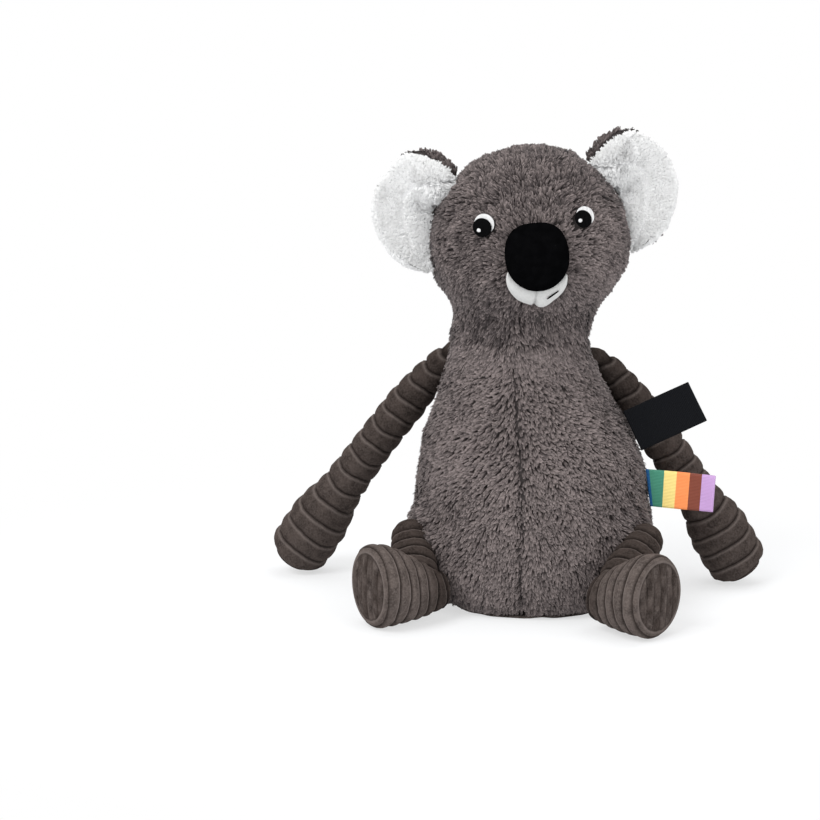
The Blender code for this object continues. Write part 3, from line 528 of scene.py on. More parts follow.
def model_blade():
    """One tapering blade of pile, 1 wide and 1 long, closed to a point: its points and faces."""
    deselect_all()
    bpy.ops.mesh.primitive_plane_add(size=1.0, location=(0.0, 0.5, 0.0))
    blade = start("blade")
    bpy.ops.transform.resize(value=(1.0, 0.50, 1.0), center_override=(0.0, 0.0, 0.0))
    select_at(blade, 1, 0.50)
    bpy.ops.mesh.extrude_region_move(TRANSFORM_OT_translate={"value": (0.0, 0.50, 0.0)})
    bpy.ops.transform.resize(value=(0.02, 1.0, 1.0))
    bpy.ops.mesh.select_all(action="SELECT")
    bpy.ops.mesh.remove_doubles(threshold=0.03)
    bpy.ops.object.mode_set(mode="OBJECT")
    bpy.ops.object.transform_apply(location=True, rotation=True, scale=True)
    points = places_of(blade)
    faces = [tuple(polygon.vertices) for polygon in blade.data.polygons]
    bpy.data.objects.remove(blade)
    return points[:, 0] * 2.0, points[:, 1], faces


BLADE_SIDE, BLADE_ALONG, BLADE_FACES = model_blade()
TIP_STATIONS = BLADE_ALONG > 0.4


def keep_outside(mesh, middle):
    """Drop the inside, the flat underside and the lip at the neck from a hollow node's mesh."""
    mesh.normal_update()
    drop = []
    for face in mesh.faces:
        centre = face.calc_center_median()
        at_lip = abs(centre.z - NECK.z) < NECK_BAND and abs(face.normal.z) > 0.8
        if face.normal.dot(centre - middle) <= 0 or face.normal.z < -0.97 or at_lip:
            drop.append(face)
    bmesh.ops.delete(mesh, geom=drop, context="FACES")


def skin_arrays(mesh):
    """The faces left in a bmesh as points, point normals and triangles."""
    bmesh.ops.triangulate(mesh, faces=mesh.faces[:])
    mesh.normal_update()
    mesh.verts.index_update()
    points = np.array([vertex.co[:] for vertex in mesh.verts])
    normals = np.array([vertex.normal[:] for vertex in mesh.verts])
    triangles = np.array([[vertex.index for vertex in face.verts] for face in mesh.faces])
    mesh.free()
    return points, normals, triangles


def skin_of(node, middle):
    """The outside of a hollow CAD node."""
    mesh = node_mesh(node)
    keep_outside(mesh, middle)
    return skin_arrays(mesh)


def scatter(skin, count, seed):
    """Evenly spread places on a skin, with their normals."""
    points, normals, triangles = skin
    dice = np.random.default_rng(seed)
    corners = points[triangles]
    sides = np.cross(corners[:, 1] - corners[:, 0], corners[:, 2] - corners[:, 0])
    areas = np.linalg.norm(sides, axis=1) / 2
    steps = (np.arange(count) + dice.uniform(0.0, 1.0, count)) / count
    chosen = np.searchsorted(np.cumsum(areas) / areas.sum(), steps).clip(0, len(areas) - 1)
    rank = np.arange(count) - np.searchsorted(chosen, chosen)
    offset = dice.uniform(0.0, 1.0, (len(triangles), 2))[chosen]
    first = (offset[:, 0] + rank * 0.7548777 + dice.normal(0.0, 0.012, count)) % 1.0
    second = (offset[:, 1] + rank * 0.5698403 + dice.normal(0.0, 0.012, count)) % 1.0
    over = first + second > 1.0
    first, second = np.where(over, 1.0 - first, first), np.where(over, 1.0 - second, second)
    weights = columns(1.0 - first - second, first, second)[:, :, None]
    return (corners[chosen] * weights).sum(1), unit((normals[triangles[chosen]] * weights).sum(1))


def along_skin(vectors, normals):
    """Vectors laid flat on the skin and brought to length 1."""
    return unit(vectors - (vectors * normals).sum(1, keepdims=True) * normals)


def swung(flow, normals, swing):
    """Directions on the skin turned aside."""
    return along_skin(flow + np.cross(normals, flow) * swing[:, None], normals)


class Pile:
    """Blades of pile, planted tuft by tuft."""

    def __init__(self, seed):
        self.dice = np.random.default_rng(seed)
        self.parts = []

    def plant(self, points, normals, flows, length, width, tone, sunk, lean, floor=False,
              spread=TUFT_SPREAD, wave=TUFT_WAVE, blades=TUFT_BLADES):
        """Plant locks, rooted under the skin, whose blades rise and lie over along the flow."""
        count = len(points)
        total = count * blades
        dice = self.dice

        def each(values, scatter=0.0):
            spread_out = np.repeat(np.broadcast_to(values, count), blades)
            return spread_out + dice.normal(0.0, scatter, total)

        phase = each(dice.uniform(0.0, TURN, count), 0.25)
        sway_by = each(wave * dice.uniform(0.4, 1.2, count))
        fan = each(dice.normal(0.0, 0.16, count), 0.07)
        low = each(np.radians(lean[0]) + dice.normal(0.0, 0.12, count), 0.06)
        high = each(np.radians(lean[1]) + dice.normal(0.0, 0.16, count), 0.08)
        tone = each(tone + dice.normal(0.0, TUFT_UNEVEN, count), 0.20)
        length = each(length * dice.uniform(0.8, 1.15, count)) * dice.uniform(0.85, 1.08, total)
        width = each(width) * dice.uniform(0.75, 1.25, total)
        roots = points - normals * np.broadcast_to(sunk, count)[:, None]
        roots, normals, flows = (np.repeat(row, blades, axis=0) for row in (roots, normals, flows))
        across = np.cross(flows, normals)
        reach = spread * np.sqrt(dice.uniform(0.0, 1.0, total))
        angle = dice.uniform(0.0, TURN, total)
        offset = (flows * (reach * np.cos(angle))[:, None] +
                  across * (reach * np.sin(angle))[:, None])
        heading = unit(flows * np.cos(fan)[:, None] + across * np.sin(fan)[:, None])
        beside = np.cross(heading, normals)
        roll = dice.normal(0.0, 0.45, total)
        turn = high - low
        stations, facings = [], []
        for side, along in zip(BLADE_SIDE, BLADE_ALONG):
            now = low + turn * along
            forward = (np.sin(now) - np.sin(low)) / turn * length
            upward = -(np.cos(now) - np.cos(low)) / turn * length
            sway = sway_by * along * np.sin(phase + along * TURN * 0.9)
            taper = width * 0.5 * side
            flat = beside * (np.cos(roll) * taper + sway)[:, None]
            stand = normals * (np.sin(roll) * taper)[:, None]
            place = roots + offset * (1.0 - TUFT_GATHER * along) + heading * forward[:, None]
            stations.append(place + normals * upward[:, None] + flat + stand)
            over = normals * np.cos(now)[:, None] - heading * np.sin(now)[:, None]
            tilt = beside * (-0.5 * np.sin(roll) + 0.25 * side)[:, None]
            facings.append(unit(normals * 0.7 + over * 0.5 + tilt))
        points = np.stack(stations, axis=1)
        if floor:
            points[:, :, 2] = np.maximum(points[:, :, 2], 0.0006)
        self.parts.append((points, np.clip(tone, 0.03, 0.97), np.stack(facings, axis=1)))


def pile_pieces(name, pile, body, material, keep=None, split=None):
    """Make a pile's meshes, in panels small enough to stand alone, riding on a body."""
    blades = [np.concatenate([part[row] for part in pile.parts]) for row in range(3)]
    if keep:
        blades = kept_rows(keep(blades[0]), *blades)
    if split:
        blades = kept_rows(np.argsort(split(blades[0][:, 0])), *blades)
    count = len(blades[0])
    panels = math.ceil(count / PANEL_BLADES)
    for panel in range(panels):
        chosen = slice(count * panel // panels, count * (panel + 1) // panels)
        label = name if panels == 1 else f"{name}_{panel + 1}"
        piece = blade_mesh(label, *kept_rows(chosen, *blades), material)
        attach(piece, body)


def blade_mesh(name, points, tones, facings, material):
    """One mesh of many blades, with its map of tone across and length along."""
    count, stations = points.shape[:2]
    corners = np.concatenate([np.array(face) for face in BLADE_FACES])
    loops = (corners[None, :] + (np.arange(count) * stations)[:, None]).ravel()
    totals = np.tile([len(face) for face in BLADE_FACES], count)
    starts = np.concatenate([[0], np.cumsum(totals)[:-1]])
    data = bpy.data.meshes.new(name)
    data.vertices.add(count * stations)
    data.vertices.foreach_set("co", points.astype(np.float32).ravel())
    data.loops.add(len(loops))
    data.loops.foreach_set("vertex_index", loops.astype(np.int32))
    data.polygons.add(len(totals))
    data.polygons.foreach_set("loop_start", starts.astype(np.int32))
    data.polygons.foreach_set("use_smooth", np.ones(len(totals), dtype=bool))
    data.update(calc_edges=True)
    across = tones[:, None] + BLADE_SIDE[corners][None, :] * 0.006
    along = np.broadcast_to(BLADE_ALONG[corners] * 0.98 + 0.01, across.shape)
    set_uv(data, "OFBake", np.stack([across, along], axis=2))
    data.materials.append(material)
    data.validate()
    data.normals_split_custom_set_from_vertices(facings.reshape(-1, 3))
    return linked(name, data)


def set_uv(data, name, places):
    """Give a mesh a UV map."""
    layer = data.uv_layers.new(name=name)
    layer.uv.foreach_set("vector", places.astype(np.float32).ravel())


# Head and body fur

HEAD_AXES = np.array(Matrix.Rotation(HEAD_TURN, 3, "Z") @ Matrix.Rotation(-HEAD_ROLL, 3, "Y"))


def in_head(points):
    """Places in the head's own frame: across, back, up."""
    return (points - np.array(HEAD_CENTRE)) @ HEAD_AXES


def out_of_head(vectors):
    """Directions of the head's own frame in the toy's frame."""
    return vectors @ HEAD_AXES.T


def head_way(across, back, up):
    """One direction of the head's own frame in the toy's frame."""
    return out_of_head(np.array([across, back, up]))


def from_seam(points):
    """How far places lie across from the body's front and back seams."""
    return points[:, 0] + BODY_LEAN * ease((points[:, 2] / NECK_HEIGHT - 0.45) / 0.55)


def body_flow(points, normals):
    """Brushed down, and outward from the seams at front and back."""
    across = from_seam(points)
    risen = ease((points[:, 2] / NECK_HEIGHT - 0.15) / 0.7)
    outward = np.tanh(across / 0.010) * (0.28 + 0.75 * risen)
    outward *= 1.0 - 0.75 * ease((np.abs(across) - 0.045) / 0.035)
    flow = along_skin(columns(outward, 0.0, -1.0), normals)
    return swung(flow, normals, ripple(points, BODY_SWING))


def chin_shade(points):
    """How far pile lies in the fold under the chin, where its tone is lowered as painted shade."""
    across, back, up = in_head(points).T
    low = bell(up + 0.054, 0.012)
    return low * ease((0.060 - np.abs(across)) / 0.030) * ease((0.01 - back) / 0.03)


def make_body_fur(material, backing):
    """The body's backing cloth and its brushed pile."""
    make_backing("body_cloth", BODY_MIDDLE, NECK_INSET, backing, "body",
                 ("body_skin", "body_stuffing", "pellet_bag"))
    points, normals = scatter(skin_of("body_skin", BODY_MIDDLE), BODY_TUFTS, SEED)
    across = from_seam(points)
    fading = ease((SEAM_TOP - points[:, 2]) / 0.012)
    thinning = np.random.default_rng(SEED + 12).uniform(0.0, 1.0, len(points))
    kept = (np.abs(across) > 0.0006 * fading) & (thinning < (PILE_TOP - points[:, 2]) / 0.010)
    points, normals, across, fading = kept_rows(kept, points, normals, across, fading)
    near_seam = bell(across, 0.0028) * fading
    # near_seam lowers the tone along the seams: painted shade in the parting of the pile.
    tone = BODY_TONE + ripple(points, BODY_TONES) - 0.20 * near_seam - 0.22 * chin_shade(points)
    length = (BODY_PILE + 0.0012 * waves(points, 0.02, 23)) * (1.0 - 0.30 * near_seam)
    low = ease((0.022 - points[:, 2]) / 0.018)
    top = ease((points[:, 2] - 0.156) / 0.020)
    hips = [np.linalg.norm(points - np.array(joint_place("leg_lift_" + name)), axis=1)
            for name in ("left", "right")]
    hip = ease((0.034 - np.minimum(*hips)) / 0.012)
    lean = (BODY_LIE[0] - 26.0 * top + 20.0 * hip,
            BODY_LIE[1] + 38.0 * low - 2.0 * top + 24.0 * hip)
    pile = Pile(SEED + 1)
    pile.plant(points, normals, body_flow(points, normals), length + 0.0045 * hip, WIDE_BLADE, tone,
               PILE_ROOT + 0.0006 * waves(points, 0.012, 24), lean, floor=True)
    pile_pieces("body_fur", pile, "body", material,
                split=lambda places: np.arctan2(places[:, 0], -places[:, 1]))


def make_backing(name, middle, past_neck, material, body, nodes):
    """A node's outside, drawn in to where the pile is rooted and closed past the neck seam."""
    piece = copied_node(nodes[0], name)
    mesh = bmesh.new()
    mesh.from_mesh(piece.data)
    keep_outside(mesh, middle)
    mesh.normal_update()
    for vertex in mesh.verts:
        vertex.co -= vertex.normal * PILE_ROOT
    at_neck = [sheen_colour for sheen_colour in mesh.edges
               if sheen_colour.is_boundary and abs(sheen_colour.verts[0].co.z - NECK.z) < NECK_BAND]
    for vertex in bmesh.ops.extrude_edge_only(mesh, edges=at_neck)["geom"]:
        if isinstance(vertex, bmesh.types.BMVert):
            vertex.co = NECK + (vertex.co - NECK) * 0.95 + Vector((0.0, 0.0, past_neck))
    rims = [sheen_colour for sheen_colour in mesh.edges if sheen_colour.is_boundary]
    bmesh.ops.holes_fill(mesh, edges=rims, sides=0)
    bmesh.ops.recalc_face_normals(mesh, faces=mesh.faces[:])
    mesh.to_mesh(piece.data)
    mesh.free()
    apply_modifier(piece, "SUBSURF", levels=1, render_levels=1)
    places = places_of(piece)
    places[:, 2] = np.maximum(places[:, 2], FLOOR_CLEAR)
    set_places(piece, places)
    dress(piece, material, body, nodes)


def head_flow(points, normals):
    """Away from the nose over the face, back over the crown, and down behind and on the cheeks."""
    local = in_head(points)
    across, back, up = local[:, 0] - NOSE[0], local[:, 1], local[:, 2]
    front = ease((0.012 - back) / 0.030)
    sideways = ease((np.abs(across) - 0.026) / 0.030)
    crown = ease((up - 0.030) / 0.025)
    face = unit(columns(across, 0.0, up - NOSE[1] + 0.002))
    face = face + columns(0.0, 0.9 * crown, -0.75 * sideways)
    fall = unit(columns(across * 4.0, 0.9, -1.0))
    flow = out_of_head(face * front[:, None] + fall * (1.0 - front)[:, None])
    near_neck = ease((0.204 - points[:, 2]) / 0.020)[:, None]
    flow = unit(flow) * (1.0 - near_neck) + neck_flow(points, normals) * near_neck
    wild = 0.25 + 0.75 * ease((up - 0.012) / 0.025) * front
    return swung(along_skin(flow, normals), normals, ripple(points, HEAD_SWING) * wild)


def neck_flow(points, normals):
    """Down over the neck seam, a little outward."""
    return along_skin(body_flow(points, normals) * 0.6 + np.array([0.0, 0.0, -0.5]), normals)


def cover_neck(pile):
    """Head pile that reaches raggedly over the seam onto the top of the body."""
    points, normals = scatter(skin_of("body_skin", BODY_MIDDLE), NECK_SCATTER, SEED + 8)
    thinning = np.random.default_rng(SEED + 9).uniform(0.0, 1.0, len(points))
    points, normals = kept_rows(thinning < (points[:, 2] - 0.160) / 0.016, points, normals)
    tone = NECK_TONE + waves(points, 0.030, 45) * 0.05 - 0.22 * chin_shade(points)
    pile.plant(points, normals, neck_flow(points, normals), NECK_PILE, FINE_BLADE, tone,
               PILE_ROOT, NECK_LIE)


def in_outline(local, grow):
    """Whether places in the head's frame lie over the nose or the mouth patch."""
    across = local[..., 0] - NOSE[0]
    nose = (np.abs(across / (NOSE_HALF[0] + grow)) ** NOSE_POWER +
            np.abs((local[..., 2] - NOSE[1]) / (NOSE_HALF[1] + grow)) ** NOSE_POWER) < 1.0
    mouth = ((across / (MOUTH_HALF[0] + grow)) ** 2 +
             ((local[..., 2] - MOUTH_MIDDLE) / (MOUTH_HALF[1] + grow)) ** 2) < 1.0
    return (nose | mouth & (local[..., 2] < MOUTH_TOP)) & (local[..., 1] < 0.0)


def off_face(points):
    """Keep the blades that leave the nose, the mouth and the eyes free."""
    local = in_head(points.reshape(-1, 3)).reshape(points.shape)
    covered = in_outline(local, 0.0004)
    for name, (across, up) in EYES.items():
        for piece, offset, clear in (("eye_", (0.0, 0.0), PUPIL_CLEAR),
                                     ("eye_ground_", GROUND_OFFSET, GROUND_CLEAR)):
            move = EYE_MOVES[piece + name]
            away = np.hypot(local[..., 0] - across - offset[0] - move[0],
                            local[..., 2] - up - offset[1] - move[1])
            covered |= (away < clear) & (local[..., 1] < 0.0)
    return ~covered[:, TIP_STATIONS].any(1)


def make_head_fur(material, backing):
    """The head's backing cloth and its short swirling pile."""
    make_backing("head_cloth", HEAD_CENTRE, -NECK_INSET, backing, "head",
                 ("head_skin", "head_stuffing"))
    points, normals = scatter(skin_of("head_skin", HEAD_CENTRE), HEAD_TUFTS, SEED + 2)
    across, back, up = in_head(points).T
    right = ease((across + 0.05) / 0.10)
    brow = ease((up - 0.010) / 0.030)
    laid = ease((up - 0.022) / 0.018) * ease((back + 0.012) / 0.020)
    tone = HEAD_TONE + 0.16 * right * (1.0 - brow) - 0.06 * brow - 0.18 * chin_shade(points)
    tone = tone + ripple(points, HEAD_TONES) + laid * 0.16
    near_neck = ease((0.198 - points[:, 2]) / 0.014)
    length = HEAD_PILE + 0.0010 * waves(points, 0.015, 43) + 0.0018 * near_neck
    lean = (HEAD_LIE[0] - 14.0 * near_neck - 32.0 * laid,
            HEAD_LIE[1] + 20.0 * near_neck - 6.0 * laid)
    pile = Pile(SEED + 3)
    pile.plant(points, normals, head_flow(points, normals), length, FINE_BLADE, tone,
               PILE_ROOT + 0.0010 * waves(points, 0.022, 44), lean, wave=0.0012)
    cover_neck(pile)
    pile_pieces("head_fur", pile, "head", material, keep=off_face,
                split=lambda places: in_head(places)[:, 1])


# Ears


def side_of(name):
    """-1 for the viewer's left, 1 for the right."""
    return -1 if name == "left" else 1


def ear_skin(node, forward):
    """The faces of an ear layer that face the front, or the back."""
    mesh = node_mesh(node)
    mesh.normal_update()
    facing = Vector(head_way(0.0, -1.0 if forward else 1.0, 0.0))
    drop = [face for face in mesh.faces if face.normal.dot(facing) < 0.05]
    bmesh.ops.delete(mesh, geom=drop, context="FACES")
    return skin_arrays(mesh)


def make_ear(name, fur, white, fur_backing, white_backing):
    """One ear: a fur back and a cupped front with long white pile that hangs over the rim."""
    body = "ear_" + name
    for layer, backing, slot in (("back", fur_backing, "fur"),
                                 ("front", white_backing, "white_plush")):
        cloth = copied_node(f"ear_{layer}_{name}", f"ear_{layer}_cloth_{name}")
        apply_modifier(cloth, "SUBSURF", levels=1, render_levels=1)
        dress(cloth, backing, body, (f"ear_{layer}_{name}",))
    pile = Pile(SEED + 5)
    plant_ear_back(pile, name)
    plant_ear_edge(pile, name)
    pile_pieces("ear_back_fur_" + name, pile, body, fur)
    pile = Pile(SEED + 7)
    for count, band in ((EAR_FRONT_TUFTS, math.inf), (EAR_RIM_TUFTS, EAR_RIM)):
        plant_ear_front(pile, ear_skin("ear_front_" + name, True), count, band)
    pile_pieces("ear_front_fur_" + name, pile, body, white)


def on_edge(points):
    """Where an ear's fur back stands out above its white pad."""
    across, _, up = in_head(points).T
    return (np.abs(across) < EAR_EDGE[0]) & (up > EAR_EDGE[1])


def plant_ear_back(pile, name):
    """The back's pile, short and turned inward near the rim and laid flat where the rim is bare."""
    side = side_of(name)
    skin = ear_skin("ear_back_" + name, False)
    points, normals = scatter(skin, EAR_BACK_TUFTS, SEED + 4)
    rim, inward = from_rim(skin, points)
    bare = ~on_edge(points)
    if side > 0:
        across, _, up = in_head(points).T
        bare &= (up > 0.010) | (np.abs(across) < 0.080)
    points, normals, rim, inward, bare = kept_rows((rim > 0.0018) | ~bare, points, normals, rim,
                                                   inward, bare)
    turned = inward * ease((0.007 - rim) / 0.004)[:, None] * 3.0
    flow = along_skin(turned + head_way(0.25 * side, 0.0, -1.0), normals)
    flat = ease((0.0060 - rim) / 0.0025) * bare
    pile.plant(points, normals, swung(flow, normals, ripple(points, EAR_BACK_SWING)),
               0.0040 + 0.0030 * ease(rim / 0.010) - 0.0012 * flat, WIDE_BLADE,
               EAR_BACK_TONE + ripple(points, EAR_BACK_TONES), 0.001,
               (EAR_BACK_LIE[0] + 32.0 * flat, EAR_BACK_LIE[1]))


def plant_ear_edge(pile, name):
    """Fur on the strip of the back that shows in front, above the white pad."""
    points, normals = scatter(ear_skin("ear_back_" + name, True), EAR_BACK_TUFTS, SEED + 10)
    pad = scatter(ear_skin("ear_front_" + name, True), EAR_PAD_PLACES, SEED + 11)[0]
    bare = (nearest_to(pad, points)[1] > EAR_PAD_REACH) & on_edge(points)
    points, normals = kept_rows(bare, points, normals)
    rising = np.broadcast_to(head_way(0.35 * side_of(name), 0.0, 1.0), points.shape)
    pile.plant(points, normals, along_skin(rising, normals), 0.0050, WIDE_BLADE,
               EAR_EDGE_TONE + waves(points, 0.007, 54) * 0.12, 0.0006, EAR_EDGE_LIE)


def plant_ear_front(pile, skin, count, band):
    """White pile over the cupped front, or in a band along its rim, left out where it is hidden."""
    points, normals = scatter(skin, count, SEED + 6)
    rim, inward = from_rim(skin, points)
    across, _, up = in_head(points).T
    seen = (rim < band) & ((rim > 0.0040) | (np.abs(across) > 0.064) | (up > 0.030))
    points, normals, rim, inward, across, up = kept_rows(seen, points, normals, rim, inward,
                                                         across, up)
    flow = along_skin(-inward + head_way(0.0, 0.0, -0.2), normals)
    swing = ripple(points, EAR_FRONT_SWING) * (0.3 + 0.7 * ease(rim / 0.012))
    inner = ease((0.068 - np.abs(across)) / 0.008) * ease((up - 0.026) / 0.010)
    length = 0.0068 - 0.0012 * ease(rim / 0.012) + 0.0044 * inner
    pile.plant(points, normals, swung(flow, normals, swing), length, WHITE_BLADE,
               EAR_FRONT_TONE + waves(points, 0.012, 63) * 0.25, 0.0012, EAR_FRONT_LIE,
               spread=0.0010, wave=0.0010, blades=8)


def nearest_to(places, points):
    """The nearest of some places to each point, and how far away it is."""
    tree = KDTree(len(places))
    for index, place in enumerate(places):
        tree.insert(place, index)
    tree.balance()
    found = [tree.find(point) for point in points]
    return np.array([entry[0][:] for entry in found]), np.array([entry[2] for entry in found])


def from_rim(skin, points):
    """How far places on an open skin lie from its edge, and the direction away from that edge."""
    places, _, triangles = skin
    sides = [triangles[:, pair] for pair in ((0, 1), (1, 2), (2, 0))]
    edges, uses = np.unique(np.sort(np.concatenate(sides), axis=1), axis=0, return_counts=True)
    edges = edges[uses == 1]
    steps = np.linspace(0.0, 1.0, 8, endpoint=False)[None, :, None]
    along = places[edges[:, :1]] * (1.0 - steps) + places[edges[:, 1:]] * steps
    away = points - nearest_to(along.reshape(-1, 3), points)[0]
    return np.linalg.norm(away, axis=1), unit(away)


# Face


def soft_copy(node, name, material, body="head", levels=2):
    """A smoothed copy of a node that stands for it."""
    piece = copied_node(node, name)
    apply_modifier(piece, "SUBSURF", levels=levels, render_levels=levels)
    dress(piece, material, body, (node,))
    return piece


def make_face(velvet, minky, black_thread, white_thread):
    """The padded nose, the mouth patch with its stitch, and the embroidered eyes."""
    nose = soft_copy("nose_pad", "nose", velvet)
    places = in_head(places_of(nose))
    places[:, 0] = NOSE[0] - 0.0008 + (places[:, 0] - NOSE[0]) * NOSE_WIDER
    set_places(nose, out_of_head(places) + np.array(HEAD_CENTRE))
    make_mouth(minky)
    soft_copy("mouth_stitch", "mouth_thread", black_thread, levels=1)
    for name in ("left", "right"):
        for node, label, thread, slot in (
                ("eye_white_", "eye_ground_", white_thread, "white_thread"),
                ("eye_pupil_", "eye_", black_thread, "black_thread"),
                ("eye_glint_", "eye_spark_", white_thread, "white_thread")):
            piece = soft_copy(node + name, label + name, thread)
            places = places_of(piece)
            middle = places.mean(0)
            spread = (places - middle) * (GROUND_SIZE if label == "eye_ground_" else 1.0)
            if name == "right" and label != "eye_spark_":
                slant = head_way(0.7071, 0.0, 0.7071)
                spread -= np.outer(spread @ slant, slant) * EYE_SQUASH
            across, up = EYE_MOVES[piece.name]
            set_places(piece, middle + head_way(across, 0.0, up) + spread)


def make_mouth(minky):
    """The mouth patch, swung aside, dented along its seam, notched below and sagging beside it."""
    mouth = soft_copy("mouth_patch", "mouth", minky)
    local = in_head(places_of(mouth))
    across, up = local[:, 0] - NOSE[0], local[:, 2] - NOSE[1]
    cosine, sine = math.cos(MOUTH_SWING), math.sin(MOUTH_SWING)
    low = ease((-0.034 - local[:, 2]) / 0.004)
    notch = bell(across, 0.0013) * low * 0.0016
    sag = bell(across - 0.0055, 0.0050) * low * 0.0018
    moves = columns(across * cosine + up * sine - across, bell(across, 0.0016) * 0.0012,
                    up * cosine - across * sine - up + notch - sag)
    set_places(mouth, places_of(mouth) + out_of_head(moves))
    # Painted shade along the dented seam.
    mark(mouth, "seam_shade", bell(across, 0.0007) * 0.55)


# Limbs

ARM_SIDES = 36
ARM_RIBS = 14
ARM_RIB_DEPTH = 0.0026
ARM_RIDGE = 0.0008
ARM_CAP = (0.35, 0.7, 1.1, 1.5)
SHOULDER_RADIUS = 0.0078
ROOT_REACH = 0.006
ARM_MIDDLE_RADIUS = 0.0142
ARM_WRIST_RADIUS = 0.0152
ARM_BOW = 0.0030
HAND_RADIUS = 0.0215
HAND_END = 0.0172
HAND_END_POWER = 3.2
HANDS = {"left": Vector((-0.168, 0.066, 0.0225)), "right": Vector((0.133, 0.064, 0.0225))}
ARM_SWELL = ((0.00, 0.0), (0.08, 0.35), (0.16, 0.66), (0.28, 1.0), (0.50, 1.0))
WRIST_SHARE = 0.70

LEG_SIDES = 48
LEG_RIB_DEPTH = 0.0019
LEG_RIDGE = 0.0007
LEG_CAP = (0.35, 0.8, 1.2, 1.5)
FOOT_RIBS = {"left": 6, "right": 5}
FOOT_LENGTHS = {"left": 0.050, "right": 0.043}
# Outer radius of a foot by the distance from its sole
FOOT_ROWS = ((0.000, 0.0278), (0.010, 0.0273), (0.020, 0.0246), (0.030, 0.0210), (0.040, 0.0172),
             (0.050, 0.0125))
FOOT_CLEAR = 0.0003
HEEL_RISE = 2.8
HEEL_SQUASH = 0.4
THIGH_RIBS = 5
THIGH_RADIUS = 0.0125
KNEE_RADIUS = 0.0165
KNEE_FROM_SOLE = 0.032
THIGH_SET = (0.0070, 0.001, -0.0045)
SOLES = {"left": Vector((-0.0955, -0.087, 0.0281)), "right": Vector((0.0905, -0.095, 0.0281))}
SOLE_FACING = {"left": math.radians(-54.0), "right": math.radians(58.0)}
SOLE_RADIUS = 0.0232
SOLE_EDGE = 1.06
SOLE_RIB_PITCH = 0.0070
# Rings of a sole from its edge inward: share of its radius, rise from the ring before
SOLE_RINGS = ((1.05, 0.0012), (1.02, 0.0006), (0.98, 0.0002), (0.94, -0.0006), (0.90, 0.0),
              *[(0.86 - 0.05 * step, 0.0) for step in range(17)])

# Where along one rib its rings lie: share of the pitch, share of the depth below the crest
RIB_RINGS = ((0.00, 1.00), (0.04, 0.78), (0.08, 0.50), (0.115, 0.34), (0.15, 0.40), (0.22, 0.24),
             (0.34, 0.08), (0.50, 0.00), (0.66, 0.06), (0.80, 0.22), (0.90, 0.50), (0.96, 0.80))
THINNEST = 0.0015


def joint_entry(name):
    """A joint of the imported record."""
    return [joint for joint in frame["joints"] if joint["name"] == name][0]


def joint_place(name):
    """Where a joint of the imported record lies."""
    return Vector(joint_entry(name)["pos_m"])


def from_rows(rows, share):
    """Read a table of (place, value) rows between its points."""
    return np.interp(share, *zip(*rows))


def arm_radius(share, length):
    """Outer radius of an arm at a share of the way to the middle of the hand."""
    if share >= 1.0:
        past = min(1.0, (share - 1.0) * length / HAND_END)
        return HAND_RADIUS * (1.0 - past ** HAND_END_POWER) ** (1.0 / HAND_END_POWER)
    swell = from_rows(ARM_SWELL, share)
    radius = SHOULDER_RADIUS + (ARM_MIDDLE_RADIUS - SHOULDER_RADIUS) * swell
    if share > 0.5:
        wrist = min(1.0, (share - 0.5) / (WRIST_SHARE - 0.5))
        radius += (ARM_WRIST_RADIUS - ARM_MIDDLE_RADIUS) * wrist
    if share > WRIST_SHARE:
        radius += (HAND_RADIUS - radius) * ease((share - WRIST_SHARE) / (0.9 - WRIST_SHARE))
    return radius


def model_tube(name, rows, sides):
    """A tube along +Z through (height, radius) rows, drawn out ring by ring, both ends closed."""
    deselect_all()
    base, radius = rows[0]
    bpy.ops.mesh.primitive_circle_add(vertices=sides, radius=radius, fill_type="NOTHING",
                                      location=(0.0, 0.0, 0.0))
    piece = start(name)
    height = 0.0
    for next_height, next_radius in rows[1:]:
        rise = next_height - base
        draw_ring(rise - height, next_radius / radius)
        height, radius = rise, next_radius
    close_ring()
    select_at(piece, 2, 0.0)
    close_ring()
    bpy.ops.mesh.select_all(action="SELECT")
    bpy.ops.transform.translate(value=(0.0, 0.0, base))
    return close_edit(piece)


def cap_rows(radius, squash, turns):
    """(height, radius) rows of a rounded end below height 0."""
    return [(-radius * squash * math.cos(turn), radius * math.sin(turn)) for turn in turns]


def rib_rows(first, last, ribs, depth, radius_at):
    """(height, radius) rows of a run of ribs."""
    pitch = (last - first) / ribs
    rows = []
    for rib in range(ribs):
        for place, drop in RIB_RINGS:
            height = first + pitch * (rib + place)
            rows.append((height, max(radius_at(height) - depth * drop, THINNEST)))
    rows.append((last, max(radius_at(last) - depth, THINNEST)))
    return rows


